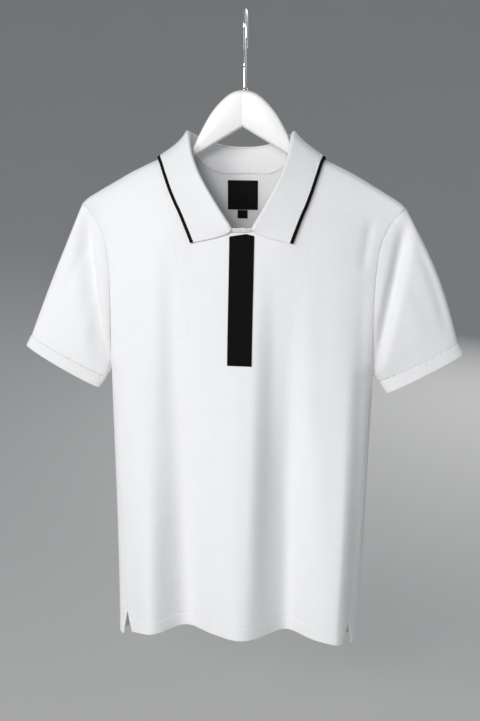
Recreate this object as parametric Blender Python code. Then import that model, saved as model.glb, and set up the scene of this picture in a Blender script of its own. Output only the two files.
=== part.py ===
"""A short-sleeved polo shirt hanging on a wooden hanger with a wire hook.

Sizes below are in millimetres. The origin is the seat of the hook, where it bears on a rail.
+X is to the right of the front, +Y goes through the shirt to its back, and "down" is the
distance below the origin. Every cloth piece is a wall whose outer face is worked out from
the tables, and neighbouring pieces share their seam lines.
"""

from collections import namedtuple
from math import asin, cos, exp, pi, radians, sin, sqrt

import bmesh
import bpy
from mathutils import Vector

MM = 0.001
TOWARDS_FRONT = Vector((0, -1, 0))
CLOTH = 1.6
CUFF_CLOTH = 2.4
BINDING_CLOTH = 2.4
PLACKET_CLOTH = 1.2
LABEL_CLOTH = 0.8
SEAM_GAP = 0.3
CORNER_EXTRA = 3.0         # a corner of a panel stands back by this share more

# ---- the body ----
PANEL_WIDTH = 184.0        # half-width that the columns of a panel are measured against
SHOULDER_X = 223.5         # half-width at the shoulder tips
UNDERARM_DOWN = 491.0
VENT_DOWN = 846.0
FRONT_HEM_DOWN = 870.5
BACK_HEM_DOWN = 885.0
SIDE_SAG = {-1: 4.4, 1: 0.0}       # how much lower each side hangs at its vent
HEM_CORNER = {-1: 9.0, 1: 0.0}     # how much lower the front and the back are at their corners
SAG_POWER = 4.4
VENT_SHARE = 0.91          # the panels' share at the vents
VENT_OPENS = {-1: -7.0, 1: 5.0}    # degrees that each panel's edge turns away below the vent
VENT_RUN = 29.0            # the drop over which it does
CREST_RADIUS = 8.5         # the cloth's bend over the hanger
CREST_FALL = {-1: 42.0, 1: 20.0}   # how fast the front and the back leave the hanger
SHOULDER_SEAM = -1.18      # the seam lies just in front of the crest
NECK_X = 77.0              # last column of the neckline
FRONT_NECK_DOWN = 291.6
FRONT_NECK_POWER = 2.4
BACK_NECK_REACH = 7.0
BACK_NECK_POWER = 3.2      # over 2 makes the back of the neckline flatter
CREST_SWEEP = 0.035        # the hanger's arms lean forward by this much of their length
SWEEP_FALL = 80.0          # how far down the cloth still follows the arms' lean
ROUND_POWER = 2.4
EDGE_POWER = 10            # how close to its edge a panel turns in to the seam
EDGE_EASES = (400.0, 590.0)    # where the panel's sides lose the depth of the armholes
FOLD_FADE = 1.6            # the folds fade out towards the sides

ARM_ROWS = 13
SIDE_ROWS = 9
VENT_ROWS = 2
ROWS = ARM_ROWS + SIDE_ROWS + VENT_ROWS
NECK_CELLS = 12
OUTER_CELLS = 10
COLUMNS = NECK_CELLS + 2 * OUTER_CELLS

CrestRow = namedtuple("CrestRow", "x down")
CREST = [
    CrestRow(-40, 168), CrestRow(0, 163), CrestRow(40, 168), CrestRow(80, 179),
    CrestRow(114, 194), CrestRow(150, 211), CrestRow(185, 231), CrestRow(214, 248.5),
    CrestRow(223.5, 257),
]

ArmholeRow = namedtuple("ArmholeRow", "down front_x front_out back_x back_out")
ARMHOLE = [
    ArmholeRow(257, 223.5, 9, 223.5, 9),
    ArmholeRow(266, 212, 11, 216, 10),
    ArmholeRow(283, 200, 16, 206, 13),
    ArmholeRow(306, 190.5, 21, 198, 17),
    ArmholeRow(343, 185, 25, 192, 19),
    ArmholeRow(382, 183, 26, 189, 20),
    ArmholeRow(422, 183, 24, 187.5, 18),
    ArmholeRow(465, 184.8, 15, 186.6, 12),
    ArmholeRow(483, 186, 6, 186.3, 5),
    ArmholeRow(491, 186.4, 0, 186.4, 0),
]

SideRow = namedtuple("SideRow", "down half_width seam_turn")
SIDES = [
    SideRow(491, 186.4, 90), SideRow(530, 185.3, 85), SideRow(570, 184.2, 80.5),
    SideRow(610, 183.1, 77), SideRow(720, 180.4, 71), SideRow(800, 178.3, 68),
    SideRow(846, 177.2, 66), SideRow(885, 176.3, 66),
]

DepthRow = namedtuple("DepthRow", "down front back lean roundness")
DEPTH = [
    DepthRow(175, 50, 36, 0.0, 1.0), DepthRow(300, 54, 41, 1.2, 1.0),
    DepthRow(400, 55, 44, 1.6, 0.95), DepthRow(450, 54, 44, 1.8, 0.8),
    DepthRow(491, 52, 44, 2.0, 0.55), DepthRow(600, 48, 42, 2.7, 0.5),
    DepthRow(720, 45, 39, 3.5, 0.5), DepthRow(885, 42, 37, 2.4, 0.5),
]

FoldRow = namedtuple("FoldRow", "top_x hem_x width begins full depth")
FOLDS = {
    -1: [
        FoldRow(-129, -121, 24, 520, 850, 15),
        FoldRow(-93, -71, 28, 250, 860, -27),
        FoldRow(6, 10, 32, 330, 860, 20),
        FoldRow(65, 74, 26, 270, 760, -27),
        FoldRow(122, 130, 26, 480, 850, 13),
        FoldRow(162, 157, 22, 350, 820, 18),
        FoldRow(171, 171, 9, 330, 400, -3),
    ],
    1: [
        FoldRow(-126, -118, 28, 420, 850, 9),
        FoldRow(-60, -52, 30, 330, 850, -12),
        FoldRow(0, 8, 30, 420, 850, 10),
        FoldRow(62, 66, 28, 340, 850, -13),
        FoldRow(120, 126, 28, 430, 850, 9),
    ],
}

ColumnRow = namedtuple("ColumnRow", "at_neck below")
NECK_COLUMNS = {
    -1: [
        ColumnRow(-77, -99), ColumnRow(-74.3, -86), ColumnRow(-66.6, -73),
        ColumnRow(-54.4, -58), ColumnRow(-36, -37), ColumnRow(-14.6, -15.6),
        ColumnRow(2.2, 1.3), ColumnRow(19, 18.2), ColumnRow(37, 38),
        ColumnRow(54.4, 53), ColumnRow(66.6, 66), ColumnRow(74.3, 80), ColumnRow(77, 95),
    ],
    1: [
        ColumnRow(-77, -92), ColumnRow(-74.3, -78), ColumnRow(-66.6, -64),
        ColumnRow(-54.4, -50), ColumnRow(-38, -36), ColumnRow(-24.2, -24.2),
        ColumnRow(-3, -3), ColumnRow(18.6, 18.6), ColumnRow(38, 36),
        ColumnRow(54.4, 50), ColumnRow(66.6, 64), ColumnRow(74.3, 78), ColumnRow(77, 92),
    ],
}
MIDDLE_CELL = NECK_CELLS // 2

# ---- sleeves and cuffs ----
SLEEVE_ROWS = 8
SleeveRow = namedtuple("SleeveRow", "outer_x outer_down inner_x inner_down bow")
SLEEVE_END = {
    -1: SleeveRow(300.5, 445, 192.5, 503, 2.0),
    1: SleeveRow(304, 441, 198.5, 498, 8.5),
}
CUFF_END = {
    -1: SleeveRow(308, 460, 203, 518.5, 0.0),
    1: SleeveRow(312.5, 456, 208.5, 514.5, 0.0),
}
SLEEVE_OUT = {-1: 15.0, 1: 13.0}    # the cuff's half-depth in front and behind
SLEEVE_SWELL = {-1: 7.0, 1: 6.0}
CUFF_PROUD = 0.8
TroughRow = namedtuple("TroughRow", "top_x foot_x outer_width inner_width depth")
TROUGHS = {-1: TroughRow(223, 190, 19, 11, 6.0), 1: TroughRow(218, 192, 11, 11, 6.0)}
TROUGH_DOWN = (285.0, 485.0)
TROUGH_STARTS = 0.12       # share of the sleeve over which it deepens from the armhole
TROUGH_ENDS = (0.15, 0.25)     # how far it runs on past both, and the share it takes to fade
BOW_WAY = (0.92, 0.39)     # the sleeve's upper side bows outwards and up

# ---- collar ----
# A station runs from 0 at the front middle through 6 at the shoulder seam to 12 behind.
LEAF_STARTS = 0.77
LEAF_ARCH = (0.13, 0.22)   # how far the leaf arches up, by its front end and by its sides
ROLL_RADIUS = 1.8          # of the leaf's inner face
LEAF_LIFT = 2.1            # of the leaf's inner face over the panels
BINDING_WIDTH = 6.4        # in the leaf's own steps, which are closer together at its edge
BINDING_PROUD = 0.4
STAND_ROWS = 3
ROLL_ROWS = 3
LEAF_ROWS = 9
FRONT_STATIONS = (0.0, 0.36, 0.72)   # the stand steps down where the leaf begins
STATION_STEP = 0.5
SIDE_STATION = 6.0
LAST_STATION = 12.0
ROLL_PART = 0.25
LEAF_SET = 0.35            # how much the leaf's rows draw together at both of its ends
EDGE_LEAN = 0.6            # share of the roll's sideways lean that the leaf's edge has

RollRow = namedtuple("RollRow", "station x y down middle")
ROLL = [
    RollRow(0.0, 0, -56.5, 285.3, 3.4), RollRow(0.77, 13, -57, 285.4, 3.4),
    RollRow(1, 17, -56.5, 278, 3.0), RollRow(2, 31.5, -52, 255, 1.5),
    RollRow(3, 45.5, -46, 231, 0.0), RollRow(4, 57, -37, 208, -1.6),
    RollRow(5, 65.3, -24, 184, -3.0), RollRow(6, 69.5, -7, 158.8, -4.2),
    RollRow(7, 69.5, 8, 157, -4.2), RollRow(8, 63, 20, 160.5, -4.0),
    RollRow(9, 52, 29.5, 165.5, -3.4), RollRow(10, 38, 35.5, 170.5, -2.8),
    RollRow(11, 20, 38.5, 174, -2.2), RollRow(12, 0, 39.5, 175, -2.0),
]
EdgeRow = namedtuple("EdgeRow", "station x reach")
POINT_REACH = {-1: -0.16, 1: 0.0}      # the left point hangs a little lower
LEAF_EDGE = [
    EdgeRow(0.77, 70.5, -11.34), EdgeRow(2, 80.5, -9.99), EdgeRow(3, 88.5, -8.69),
    EdgeRow(4, 97, -7.13), EdgeRow(5, 105, -5.0), EdgeRow(5.5, 109, -3.4),
    EdgeRow(6, 112.5, -1.5), EdgeRow(6.5, 113.5, 0.4), EdgeRow(7, 113, 2.1),
    EdgeRow(8, 105, 4.3), EdgeRow(9, 88, 6.0), EdgeRow(10, 62, 7.3),
    EdgeRow(11, 32, 8.1), EdgeRow(12, 0, 8.45),
]

# ---- placket and labels ----
PLACKET_CELLS = (MIDDLE_CELL - 1, MIDDLE_CELL + 1)
PLACKET_TOP_DOWN = (296.5, 292.6, 295.3)    # its top edge is a shallow peak
PLACKET_FOOT_DOWN = 472.0
LABEL_CELLS = (MIDDLE_CELL - 1, MIDDLE_CELL + 1)
LABEL_DOWN = (221.4, 262.8)
TAB_X = (-10.5, 4.0)
TAB_DOWN = (263.1, 275.0)
TAB_LIFT = 0.3             # the tab hangs this much off the panel below the label

# ---- hanger and hook ----
HANGER_HALF = 5.5
HANGER_BEVEL = 4.6
HANGER_TOP = [
    CrestRow(0, 101.5), CrestRow(11, 103.2), CrestRow(21, 108.2), CrestRow(33, 118.8),
    CrestRow(45, 133.5), CrestRow(53, 147), CrestRow(60, 160), CrestRow(66.5, 173),
    CrestRow(74, 181.5), CrestRow(82, 184.6), CrestRow(97, 190.8),
]
HANGER_TIP = [CrestRow(207, 258), CrestRow(206, 265)]
HANGER_UNDER = [
    CrestRow(196, 268.5), CrestRow(150, 243), CrestRow(110, 218.5),
    CrestRow(66, 190), CrestRow(33, 169.7), CrestRow(0, 150.2),
]
HANGER_X = -1.5            # the hanger's middle, which its arms leave for the shirt's own
ARM_X = 0.7
ARM_FROM = 90.0            # where the arms are fully on the shirt's middle
HANGER_DROP = 2.5          # from the cloth's outer face down to the wood
ARM_TOP_X = (114, 132, 150, 168, 185, 199)

WIRE = 4.2
HOOK_LOOP = 20.0           # inner radius of the loop
WireRow = namedtuple("WireRow", "y down")
SHANK = [
    WireRow(0, 97.6), WireRow(0, 82), WireRow(0, 70), WireRow(-1.5, 62), WireRow(-6.5, 54.5),
    WireRow(-13.5, 46),
]
LOOP_TURNS = (205.0, 25.0)     # degrees at which the loop starts and ends
LOOP_STEPS = 18
HOOK_TIP = [WireRow(21.75, 27), WireRow(21.3, 35), WireRow(20.5, 43)]
FERRULE_RADIUS = 4.6
FERRULE_DOWN = (98.4, 101.0)

FINISHES = {
    "white_knit": ((0.84, 0.84, 0.84), 0.88, 0.0),
    "black_twill": ((0.006, 0.006, 0.007), 0.6, 0.0),
    "black_satin_weave": ((0.012, 0.012, 0.013), 0.55, 0.0),
    "white_painted_wood": ((0.83, 0.83, 0.82), 0.35, 0.0),
    "chrome": ((0.72, 0.72, 0.73), 0.15, 1.0),
}


# ---- small tools ----
def blend(low, high, share):
    return low + (high - low) * share


def ease(share):
    share = min(max(share, 0.0), 1.0)
    return share * share * (3 - 2 * share)


def read(rows, column, at):
    """A smooth curve through one column of a table, read at a value of its first column."""
    if at <= rows[0][0]:
        return getattr(rows[0], column)
    if at >= rows[-1][0]:
        return getattr(rows[-1], column)
    low = max(index for index, row in enumerate(rows) if row[0] <= at)

    def slope(index):
        before, after = rows[max(index - 1, 0)], rows[min(index + 1, len(rows) - 1)]
        return (getattr(after, column) - getattr(before, column)) / (after[0] - before[0])

    span = rows[low + 1][0] - rows[low][0]
    share = (at - rows[low][0]) / span
    start, end = getattr(rows[low], column), getattr(rows[low + 1], column)
    leave, arrive = slope(low) * span, slope(low + 1) * span
    cube, square = share ** 3, share ** 2
    return (
        (2 * cube - 3 * square + 1) * start + (cube - 2 * square + share) * leave
        + (3 * square - 2 * cube) * end + (cube - square) * arrive
    )


def finish(name):
    """The material of one finish, made once."""
    if name in bpy.data.materials:
        return bpy.data.materials[name]
    colour, roughness, metallic = FINISHES[name]
    material = bpy.data.materials.new(name)
    material.use_nodes = True
    shader = material.node_tree.nodes["Principled BSDF"]
    shader.inputs["Base Color"].default_value = (*colour, 1)
    shader.inputs["Roughness"].default_value = roughness
    shader.inputs["Metallic"].default_value = metallic
    return material


def add_object(name, shape, finish_name, sharp_angle=70):
    """Turns a bmesh in millimetres into a named object in metres."""
    bmesh.ops.recalc_face_normals(shape, faces=shape.faces)
    bmesh.ops.scale(shape, vec=(MM, MM, MM), verts=shape.verts)
    mesh = bpy.data.meshes.new(name)
    shape.to_mesh(mesh)
    shape.free()
    mesh.materials.append(finish(finish_name))
    mesh.shade_smooth()
    mesh.set_sharp_from_angle(angle=radians(sharp_angle))
    piece = bpy.data.objects.new(name, mesh)
    bpy.context.scene.collection.objects.link(piece)
    return piece


def inward_of(place, across, along, step=0.004):
    """Unit vector from the outer face into the cloth, square to the surface."""
    low_across, high_across = max(across - step, 0), min(across + step, 1)
    low_along, high_along = max(along - step, 0), min(along + step, 1)
    run = place(high_across, along) - place(low_across, along)
    fall = place(across, high_along) - place(across, low_along)
    return run.cross(fall).normalized()


def mitred(own, other):
    """The direction that two walls share where they bend towards each other."""
    if own.dot(other) < 0.3:
        return own
    return (own + other) / (1 + own.dot(other))


def draw_in(shape, distance):
    """Moves a sheet's rim inwards along the sheet, which leaves half of each seam's gap."""
    moves = {}
    for vert in shape.verts:
        rims = [edge for edge in vert.link_edges if edge.is_boundary]
        if not rims:
            continue
        insides = []
        for edge in rims:
            run = (edge.verts[1].co - edge.verts[0].co).normalized()
            towards = edge.link_faces[0].calc_center_median() - edge.verts[0].co
            insides.append((towards - run * towards.dot(run)).normalized())
        corner = CORNER_EXTRA if insides[0].dot(insides[1]) < 0.5 else 1.0
        both = (insides[0] + insides[1]) / (1 + insides[0].dot(insides[1]))
        moves[vert] = both * distance * corner
    for vert, move in moves.items():
        vert.co += move


def sheet(name, cells, place, thickness, finish_name, inward, closed=False):
    """A wall of cloth: place() gives its outer face, and inward() which way it gains thickness."""
    shape = bmesh.new()
    bmesh.ops.create_grid(shape, x_segments=cells[0], y_segments=cells[1], size=1.0)
    layer = shape.verts.layers.float_vector.new("inward")
    for vert in shape.verts:
        across, along = (1 + vert.co.x) / 2, (1 - vert.co.y) / 2
        vert.co = place(across, along)
        vert[layer] = inward(across, along) * thickness
    if closed:
        bmesh.ops.remove_doubles(shape, verts=shape.verts, dist=0.2)
    draw_in(shape, SEAM_GAP / 2)
    grown = bmesh.ops.extrude_face_region(shape, geom=shape.faces[:], use_keep_orig=True)
    for item in grown["geom"]:
        if isinstance(item, bmesh.types.BMVert):
            item.co += item[layer]
    return add_object(name, shape, finish_name)


# ---- the body's surface ----
def side_x(half, down):
    """Half-width of the front (-1) or back (1) panel at a height."""
    if down <= UNDERARM_DOWN:
        return read(ARMHOLE, "front_x" if half < 0 else "back_x", down)
    return read(SIDES, "half_width", down)


def edge_out(half, down):
    """How far the panel's edge stands from the hanger's plane."""
    return read(ARMHOLE, "front_out" if half < 0 else "back_out", down)


def crest_down(share):
    """Height of the shoulder line above a column, which is given as a share of the width."""
    top_x = PANEL_WIDTH * share + (SHOULDER_X - PANEL_WIDTH) * share ** 3
    return read(CREST, "down", abs(top_x))


def fold_out(half, x, down):
    """How far the folds push the cloth out, at one point of a panel."""
    out = 0.0
    for fold in FOLDS[half]:
        ripe = ease((down - fold.begins) / (fold.full - fold.begins))
        middle = blend(fold.top_x, fold.hem_x, (down - 300) / 575)
        out += fold.depth * ripe * exp(-((x - middle) / fold.width) ** 2)
    return out


def cloth_at(half, share, down):
    """A point of the outer face: share is the sine of its turn about the body."""
    width = side_x(half, down)
    x = read(DEPTH, "lean", down) + PANEL_WIDTH * share + (width - PANEL_WIDTH) * share ** 3
    fall = max(down - crest_down(share), 0.0)
    edge = edge_out(half, down)
    first, last = EDGE_EASES
    near_edge = edge_out(half, min(down, first)) * (1 - ease((down - first) / (last - first)))
    middle = read(DEPTH, "front" if half < 0 else "back", down)
    hollow = max(1 - abs(share) ** ROUND_POWER, 0.0) ** read(DEPTH, "roundness", down)
    full = blend(near_edge, middle, hollow) + (edge - near_edge) * abs(share) ** EDGE_POWER
    bend = min(fall / CREST_RADIUS, 1.0)
    out = CREST_RADIUS * sqrt(1 - (1 - bend) ** 2)
    out += (full - CREST_RADIUS) * (1 - exp(-fall / CREST_FALL[half]))
    out += fold_out(half, x, down) * min(hollow * FOLD_FADE, 1.0)
    y = half * out - CREST_SWEEP * abs(x) * exp(-fall / SWEEP_FALL)
    return Vector((x, y, -down))


def reach_start(half, share):
    """Where a panel's column starts, as the signed root of its drop from the crest."""
    neck = abs(share) * PANEL_WIDTH / NECK_X
    if neck >= 1:
        return SHOULDER_SEAM
    if half > 0:
        rise = sqrt(1 - neck ** BACK_NECK_POWER)
        return SHOULDER_SEAM + (BACK_NECK_REACH - SHOULDER_SEAM) * rise
    rise = sqrt(1 - neck ** FRONT_NECK_POWER)
    side_down = crest_down(share) + SHOULDER_SEAM ** 2
    down = blend(side_down, FRONT_NECK_DOWN, rise)
    return -sqrt(down - crest_down(share))


def reach_end(half, share):
    return half * sqrt(UNDERARM_DOWN - crest_down(share))


def arm_share(row):
    """Rows lie closer at the shoulder and at the underarm than between them."""
    part = row / ARM_ROWS
    return part - 0.5 * sin(2 * pi * part) / (2 * pi)


def reach_point(share, reach):
    """A point by its column and its signed reach: negative in front of the crest."""
    half = -1 if reach < 0 else 1
    return cloth_at(half, share, crest_down(share) + reach * reach)


def column_turn(half, column, row):
    """A column's turn about the body, in radians, at a row: its sine is the share."""
    loosened = ease(row / ARM_ROWS)
    neck = [blend(item.at_neck, item.below, loosened) for item in NECK_COLUMNS[half]]
    inner = column - OUTER_CELLS
    if 0 <= inner <= NECK_CELLS:
        low = min(int(inner), NECK_CELLS - 1)
        x = blend(neck[low], neck[low + 1], inner - low)
        return asin(x / PANEL_WIDTH)
    down = row_down(half, row)
    turn = read(SIDES, "seam_turn", down)
    if down > VENT_DOWN:
        turn += VENT_OPENS[half] * (down - VENT_DOWN) / VENT_RUN
    last = radians(turn if half < 0 else 180 - turn)
    if inner < 0:
        return blend(asin(neck[0] / PANEL_WIDTH), -last, -inner / OUTER_CELLS)
    return blend(asin(neck[-1] / PANEL_WIDTH), last, (inner - NECK_CELLS) / OUTER_CELLS)


def row_down(half, row):
    """Height of a row below the underarm, and the underarm's for the rows above it."""
    if row <= ARM_ROWS:
        return UNDERARM_DOWN
    if row <= ARM_ROWS + SIDE_ROWS:
        return blend(UNDERARM_DOWN, VENT_DOWN, (row - ARM_ROWS) / SIDE_ROWS)
    hem = FRONT_HEM_DOWN if half < 0 else BACK_HEM_DOWN
    return blend(VENT_DOWN, hem, (row - ARM_ROWS - SIDE_ROWS) / VENT_ROWS)


def sag(half, share, row):
    """How much lower than its row a point hangs, by its closeness to the sides."""
    near = min(abs(share) / VENT_SHARE, 1.0) ** SAG_POWER
    side = -1 if share < 0 else 1
    drop = SIDE_SAG[side] * ease((row - ARM_ROWS) / SIDE_ROWS)
    return near * (drop + HEM_CORNER[half] * max(row - ARM_ROWS - SIDE_ROWS, 0) / VENT_ROWS)


def panel_point(half, column, row):
    turn = column_turn(half, column, row)
    share = sin(turn)
    if row <= ARM_ROWS:
        reach = blend(reach_start(half, share), reach_end(half, share), arm_share(row))
        return reach_point(share, reach)
    facing = half if cos(turn) >= 0 else -half
    return cloth_at(facing, share, row_down(half, row) + sag(half, share, row))


def panel_place(half):
    """The panel as a function of two shares. The back runs the other way, to face out."""
    def place(across, along):
        across = across if half < 0 else 1 - across
        return panel_point(half, across * COLUMNS, along * ROWS)
    return place


def panel_inward(half, column, row):
    """Into the cloth. Along the shoulder and side seams both panels get the same direction."""
    share = sin(column_turn(half, column, row))
    if row == 0 and abs(share) * PANEL_WIDTH >= NECK_X:
        step = 0.05
        low, high = max(share - step, -1), min(share + step, 1)
        run = reach_point(high, SHOULDER_SEAM) - reach_point(low, SHOULDER_SEAM)
        fall = reach_point(share, SHOULDER_SEAM - step) - reach_point(share, SHOULDER_SEAM + step)
        return run.cross(fall).normalized()
    on_side_seam = column in (0, COLUMNS)
    if on_side_seam and ARM_ROWS <= row <= ARM_ROWS + SIDE_ROWS:
        turn = column_turn(-1, column, row)
        down = row_down(half, row) + sag(-1, sin(turn), row)
        ahead, behind = turn + 0.02, turn - 0.02
        points = []
        for angle in (behind, ahead):
            points.append(cloth_at(-1 if cos(angle) >= 0 else 1, sin(angle), down + 0.01))
        return (points[1] - points[0]).cross(Vector((0, 0, -1))).normalized()
    across = column / COLUMNS if half < 0 else 1 - column / COLUMNS
    return inward_of(panel_place(half), across, row / ROWS)


# ---- sleeves ----
def armhole_row(across):
    """Half and row of the armhole's loop, from the underarm up the front and down behind."""
    if across <= 0.5:
        return -1, ARM_ROWS * (1 - 2 * across)
    return 1, ARM_ROWS * (2 * across - 1)


def armhole_point(side, across):
    half, row = armhole_row(across)
    return panel_point(half, COLUMNS if side > 0 else 0, row)


def ring_point(side, row, across, proud=0.0):
    """A point of the flat oval where a sleeve or a cuff ends."""
    outer = Vector((row.outer_x, 0, -row.outer_down))
    inner = Vector((row.inner_x, 0, -row.inner_down))
    reach = (outer - inner) / 2
    reach += reach.normalized() * proud
    turn = 2 * pi * across
    half = -1 if across <= 0.5 else 1
    point = (outer + inner) / 2 - reach * cos(turn)
    point.y = -(SLEEVE_OUT[half] + proud) * sin(turn)
    point.x *= side
    return point


def sleeve_point(side, across, along):
    end = SLEEVE_END[side]
    point = armhole_point(side, across).lerp(ring_point(side, end, across), along)
    turn = 2 * pi * across
    half = -1 if across <= 0.5 else 1
    swell = sin(pi * along)
    point.y -= SLEEVE_SWELL[half] * swell * sin(turn)
    lift = end.bow * swell * max(-cos(turn), 0)
    point += Vector((side * BOW_WAY[0], 0, BOW_WAY[1])) * lift
    trough = TROUGHS[side]
    low, high = TROUGH_DOWN
    part = (-point.z - low) / (high - low)
    middle = blend(trough.top_x, trough.foot_x, part)
    past, fade = TROUGH_ENDS
    depth = trough.depth * ease((part + past) / fade) * ease((1 + past - part) / fade)
    off = abs(point.x) - middle
    near = exp(-(off / (trough.outer_width if off > 0 else trough.inner_width)) ** 2)
    point.y -= half * depth * near * abs(sin(turn)) * ease(along / TROUGH_STARTS)
    return point


def sleeve_place(side):
    def place(across, along):
        return sleeve_point(side, across if side > 0 else 1 - across, along)
    return place


def sleeve_inward(side, across, along):
    """Across counts from the underarm up the front, whichever side it is."""
    around = across if side > 0 else 1 - across
    place = sleeve_place(side)
    step = 0.006
    low_along, high_along = max(along - step, 0), min(along + step, 1)
    run = place((around + step) % 1, along) - place((around - step) % 1, along)
    fall = place(around, high_along) - place(around, low_along)
    return run.cross(fall).normalized()


def body_inward(half):
    """The body's inward direction, mitred with the sleeves along the armholes."""
    def inward(across, along):
        column = round((across if half < 0 else 1 - across) * COLUMNS)
        row = round(along * ROWS)
        own = panel_inward(half, column, row)
        side = {0: -1, COLUMNS: 1}.get(column)
        if side and row < ARM_ROWS:
            around = 0.5 + half * 0.5 * row / ARM_ROWS
            return mitred(own, sleeve_inward(side, around, 0))
        return own
    return inward


def make_body():
    for half, name in ((-1, "front"), (1, "back")):
        sheet(name, (COLUMNS, ROWS), panel_place(half), CLOTH, "white_knit", body_inward(half))


def make_sleeve(side, name):
    def inward(across, along):
        around = across if side > 0 else 1 - across
        own = sleeve_inward(side, around, along)
        half, row = armhole_row(around)
        row = round(row)
        if along < 0.001 and row < ARM_ROWS:
            return mitred(own, panel_inward(half, COLUMNS if side > 0 else 0, row))
        return own

    cells = (2 * ARM_ROWS, SLEEVE_ROWS)
    sheet("sleeve_" + name, cells, sleeve_place(side), CLOTH, "white_knit", inward, closed=True)


def make_cuff(side, name):
    def place(across, along):
        around = across if side > 0 else 1 - across
        start = ring_point(side, SLEEVE_END[side], around, CUFF_PROUD)
        return start.lerp(ring_point(side, CUFF_END[side], around, CUFF_PROUD), along)

    def inward(across, along):
        step = 0.006
        run = place((across + step) % 1, along) - place((across - step) % 1, along)
        fall = place(across, 1) - place(across, 0)
        return run.cross(fall).normalized()

    cells = (2 * ARM_ROWS, 1)
    sheet("cuff_" + name, cells, place, CUFF_CLOTH, "white_knit", inward, closed=True)


# ---- collar ----
def neck_point(side, station):
    """The neckline at a station, on the straight runs between the panels' own columns."""
    low = min(int(station), int(LAST_STATION) - 1)
    ends = []
    for whole in (low, low + 1):
        half = -1 if whole <= MIDDLE_CELL else 1
        steps = whole if half < 0 else int(LAST_STATION) - whole
        ends.append(panel_point(half, OUTER_CELLS + MIDDLE_CELL + side * steps, 0))
    return ends[0].lerp(ends[1], station - low)


def roll_point(side, station):
    """The crown of the collar, where the stand turns over into the leaf."""
    x = side * read(ROLL, "x", station) + read(ROLL, "middle", station)
    return Vector((x, read(ROLL, "y", station), -read(ROLL, "down", station)))


def share_of(x):
    """The share whose column starts at x on the shoulder line."""
    share = x / PANEL_WIDTH
    for _ in range(6):
        share = x / (PANEL_WIDTH + (SHOULDER_X - PANEL_WIDTH) * share * share)
    return share


def edge_point(side, station):
    """The leaf's outer edge, lifted off the panel that it lies on."""
    x = side * read(LEAF_EDGE, "x", station) + read(ROLL, "middle", station) * EDGE_LEAN
    share = share_of(x)
    reach = read(LEAF_EDGE, "reach", station) + POINT_REACH[side] * max(1 - station / 3, 0)
    step = 0.02
    run = reach_point(share + step, reach) - reach_point(share - step, reach)
    fall = reach_point(share, reach + step * 5) - reach_point(share, reach - step * 5)
    return reach_point(share, reach) + run.cross(fall).normalized() * LEAF_LIFT


def roll_frame(side, station):
    """The stand's rise into the roll, and the direction in which the roll turns over."""
    crown = roll_point(side, station)
    rise = (crown - neck_point(side, station)).normalized()
    before = roll_point(side, max(station - 0.25, LEAF_STARTS))
    after = roll_point(side, min(station + 0.25, LAST_STATION))
    tangent = (after - before).normalized()
    over = tangent.cross(rise).normalized() * side
    return crown, rise, over


def stand_point(side, station, height):
    foot = neck_point(side, station)
    if station < LEAF_STARTS - 0.001:
        return foot.lerp(roll_point(side, station), height)
    crown, rise, _ = roll_frame(side, station)
    return foot.lerp(crown - rise * (ROLL_RADIUS + CLOTH), height)


def clear_of_front(point):
    """The point, moved forward where it would come too near the front panel."""
    down = -point.z
    panel = cloth_at(-1, point.x / PANEL_WIDTH, down)
    need = LEAF_LIFT - panel.y
    ahead = -point.y
    softened = (ahead + need + sqrt((ahead - need) ** 2 + 1)) / 2
    return Vector((point.x, -softened, point.z))


def leaf_point(side, station, part):
    """The leaf's inner face: part 0 to 0.25 goes over the roll, and the rest down the leaf."""
    crown, rise, over = roll_frame(side, station)
    base = crown - rise * (ROLL_RADIUS + CLOTH)
    if part <= ROLL_PART:
        turn = pi * part / ROLL_PART
        centre = base + over * ROLL_RADIUS
        return centre - over * ROLL_RADIUS * cos(turn) + rise * ROLL_RADIUS * sin(turn)
    start = base + over * 2 * ROLL_RADIUS
    end = edge_point(side, station)
    share = (part - ROLL_PART) / (1 - ROLL_PART)
    pull = (end - start).length * blend(*LEAF_ARCH, min(station / 4, 1))
    bend = 3 * share * (1 - share) ** 2
    point = start.lerp(end, blend(share, ease(share), LEAF_SET)) - rise * pull * bend
    if station >= SIDE_STATION:
        return point
    return point.lerp(clear_of_front(point), ease((SIDE_STATION - station) * 2) * ease(share * 4))


def leaf_stations():
    """Stations of half the leaf, from its front end to the back middle."""
    steps = int((LAST_STATION - 1) / STATION_STEP)
    return [LEAF_STARTS] + [1 + step * STATION_STEP for step in range(steps + 1)]


def walk(stations, across):
    """Side and station at a share of the way from the right end, round behind, to the left."""
    last = len(stations) - 1
    walked = across * 2 * last
    side = 1 if walked <= last else -1
    if side < 0:
        walked = 2 * last - walked
    low = min(int(walked), last - 1)
    return side, blend(stations[low], stations[low + 1], walked - low)


def white_share(side, station):
    """The part of the leaf at which the binding starts."""
    end = edge_point(side, station)
    length = (end - roll_point(side, station)).length
    return 1 - (1 - ROLL_PART) * BINDING_WIDTH / length


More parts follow.
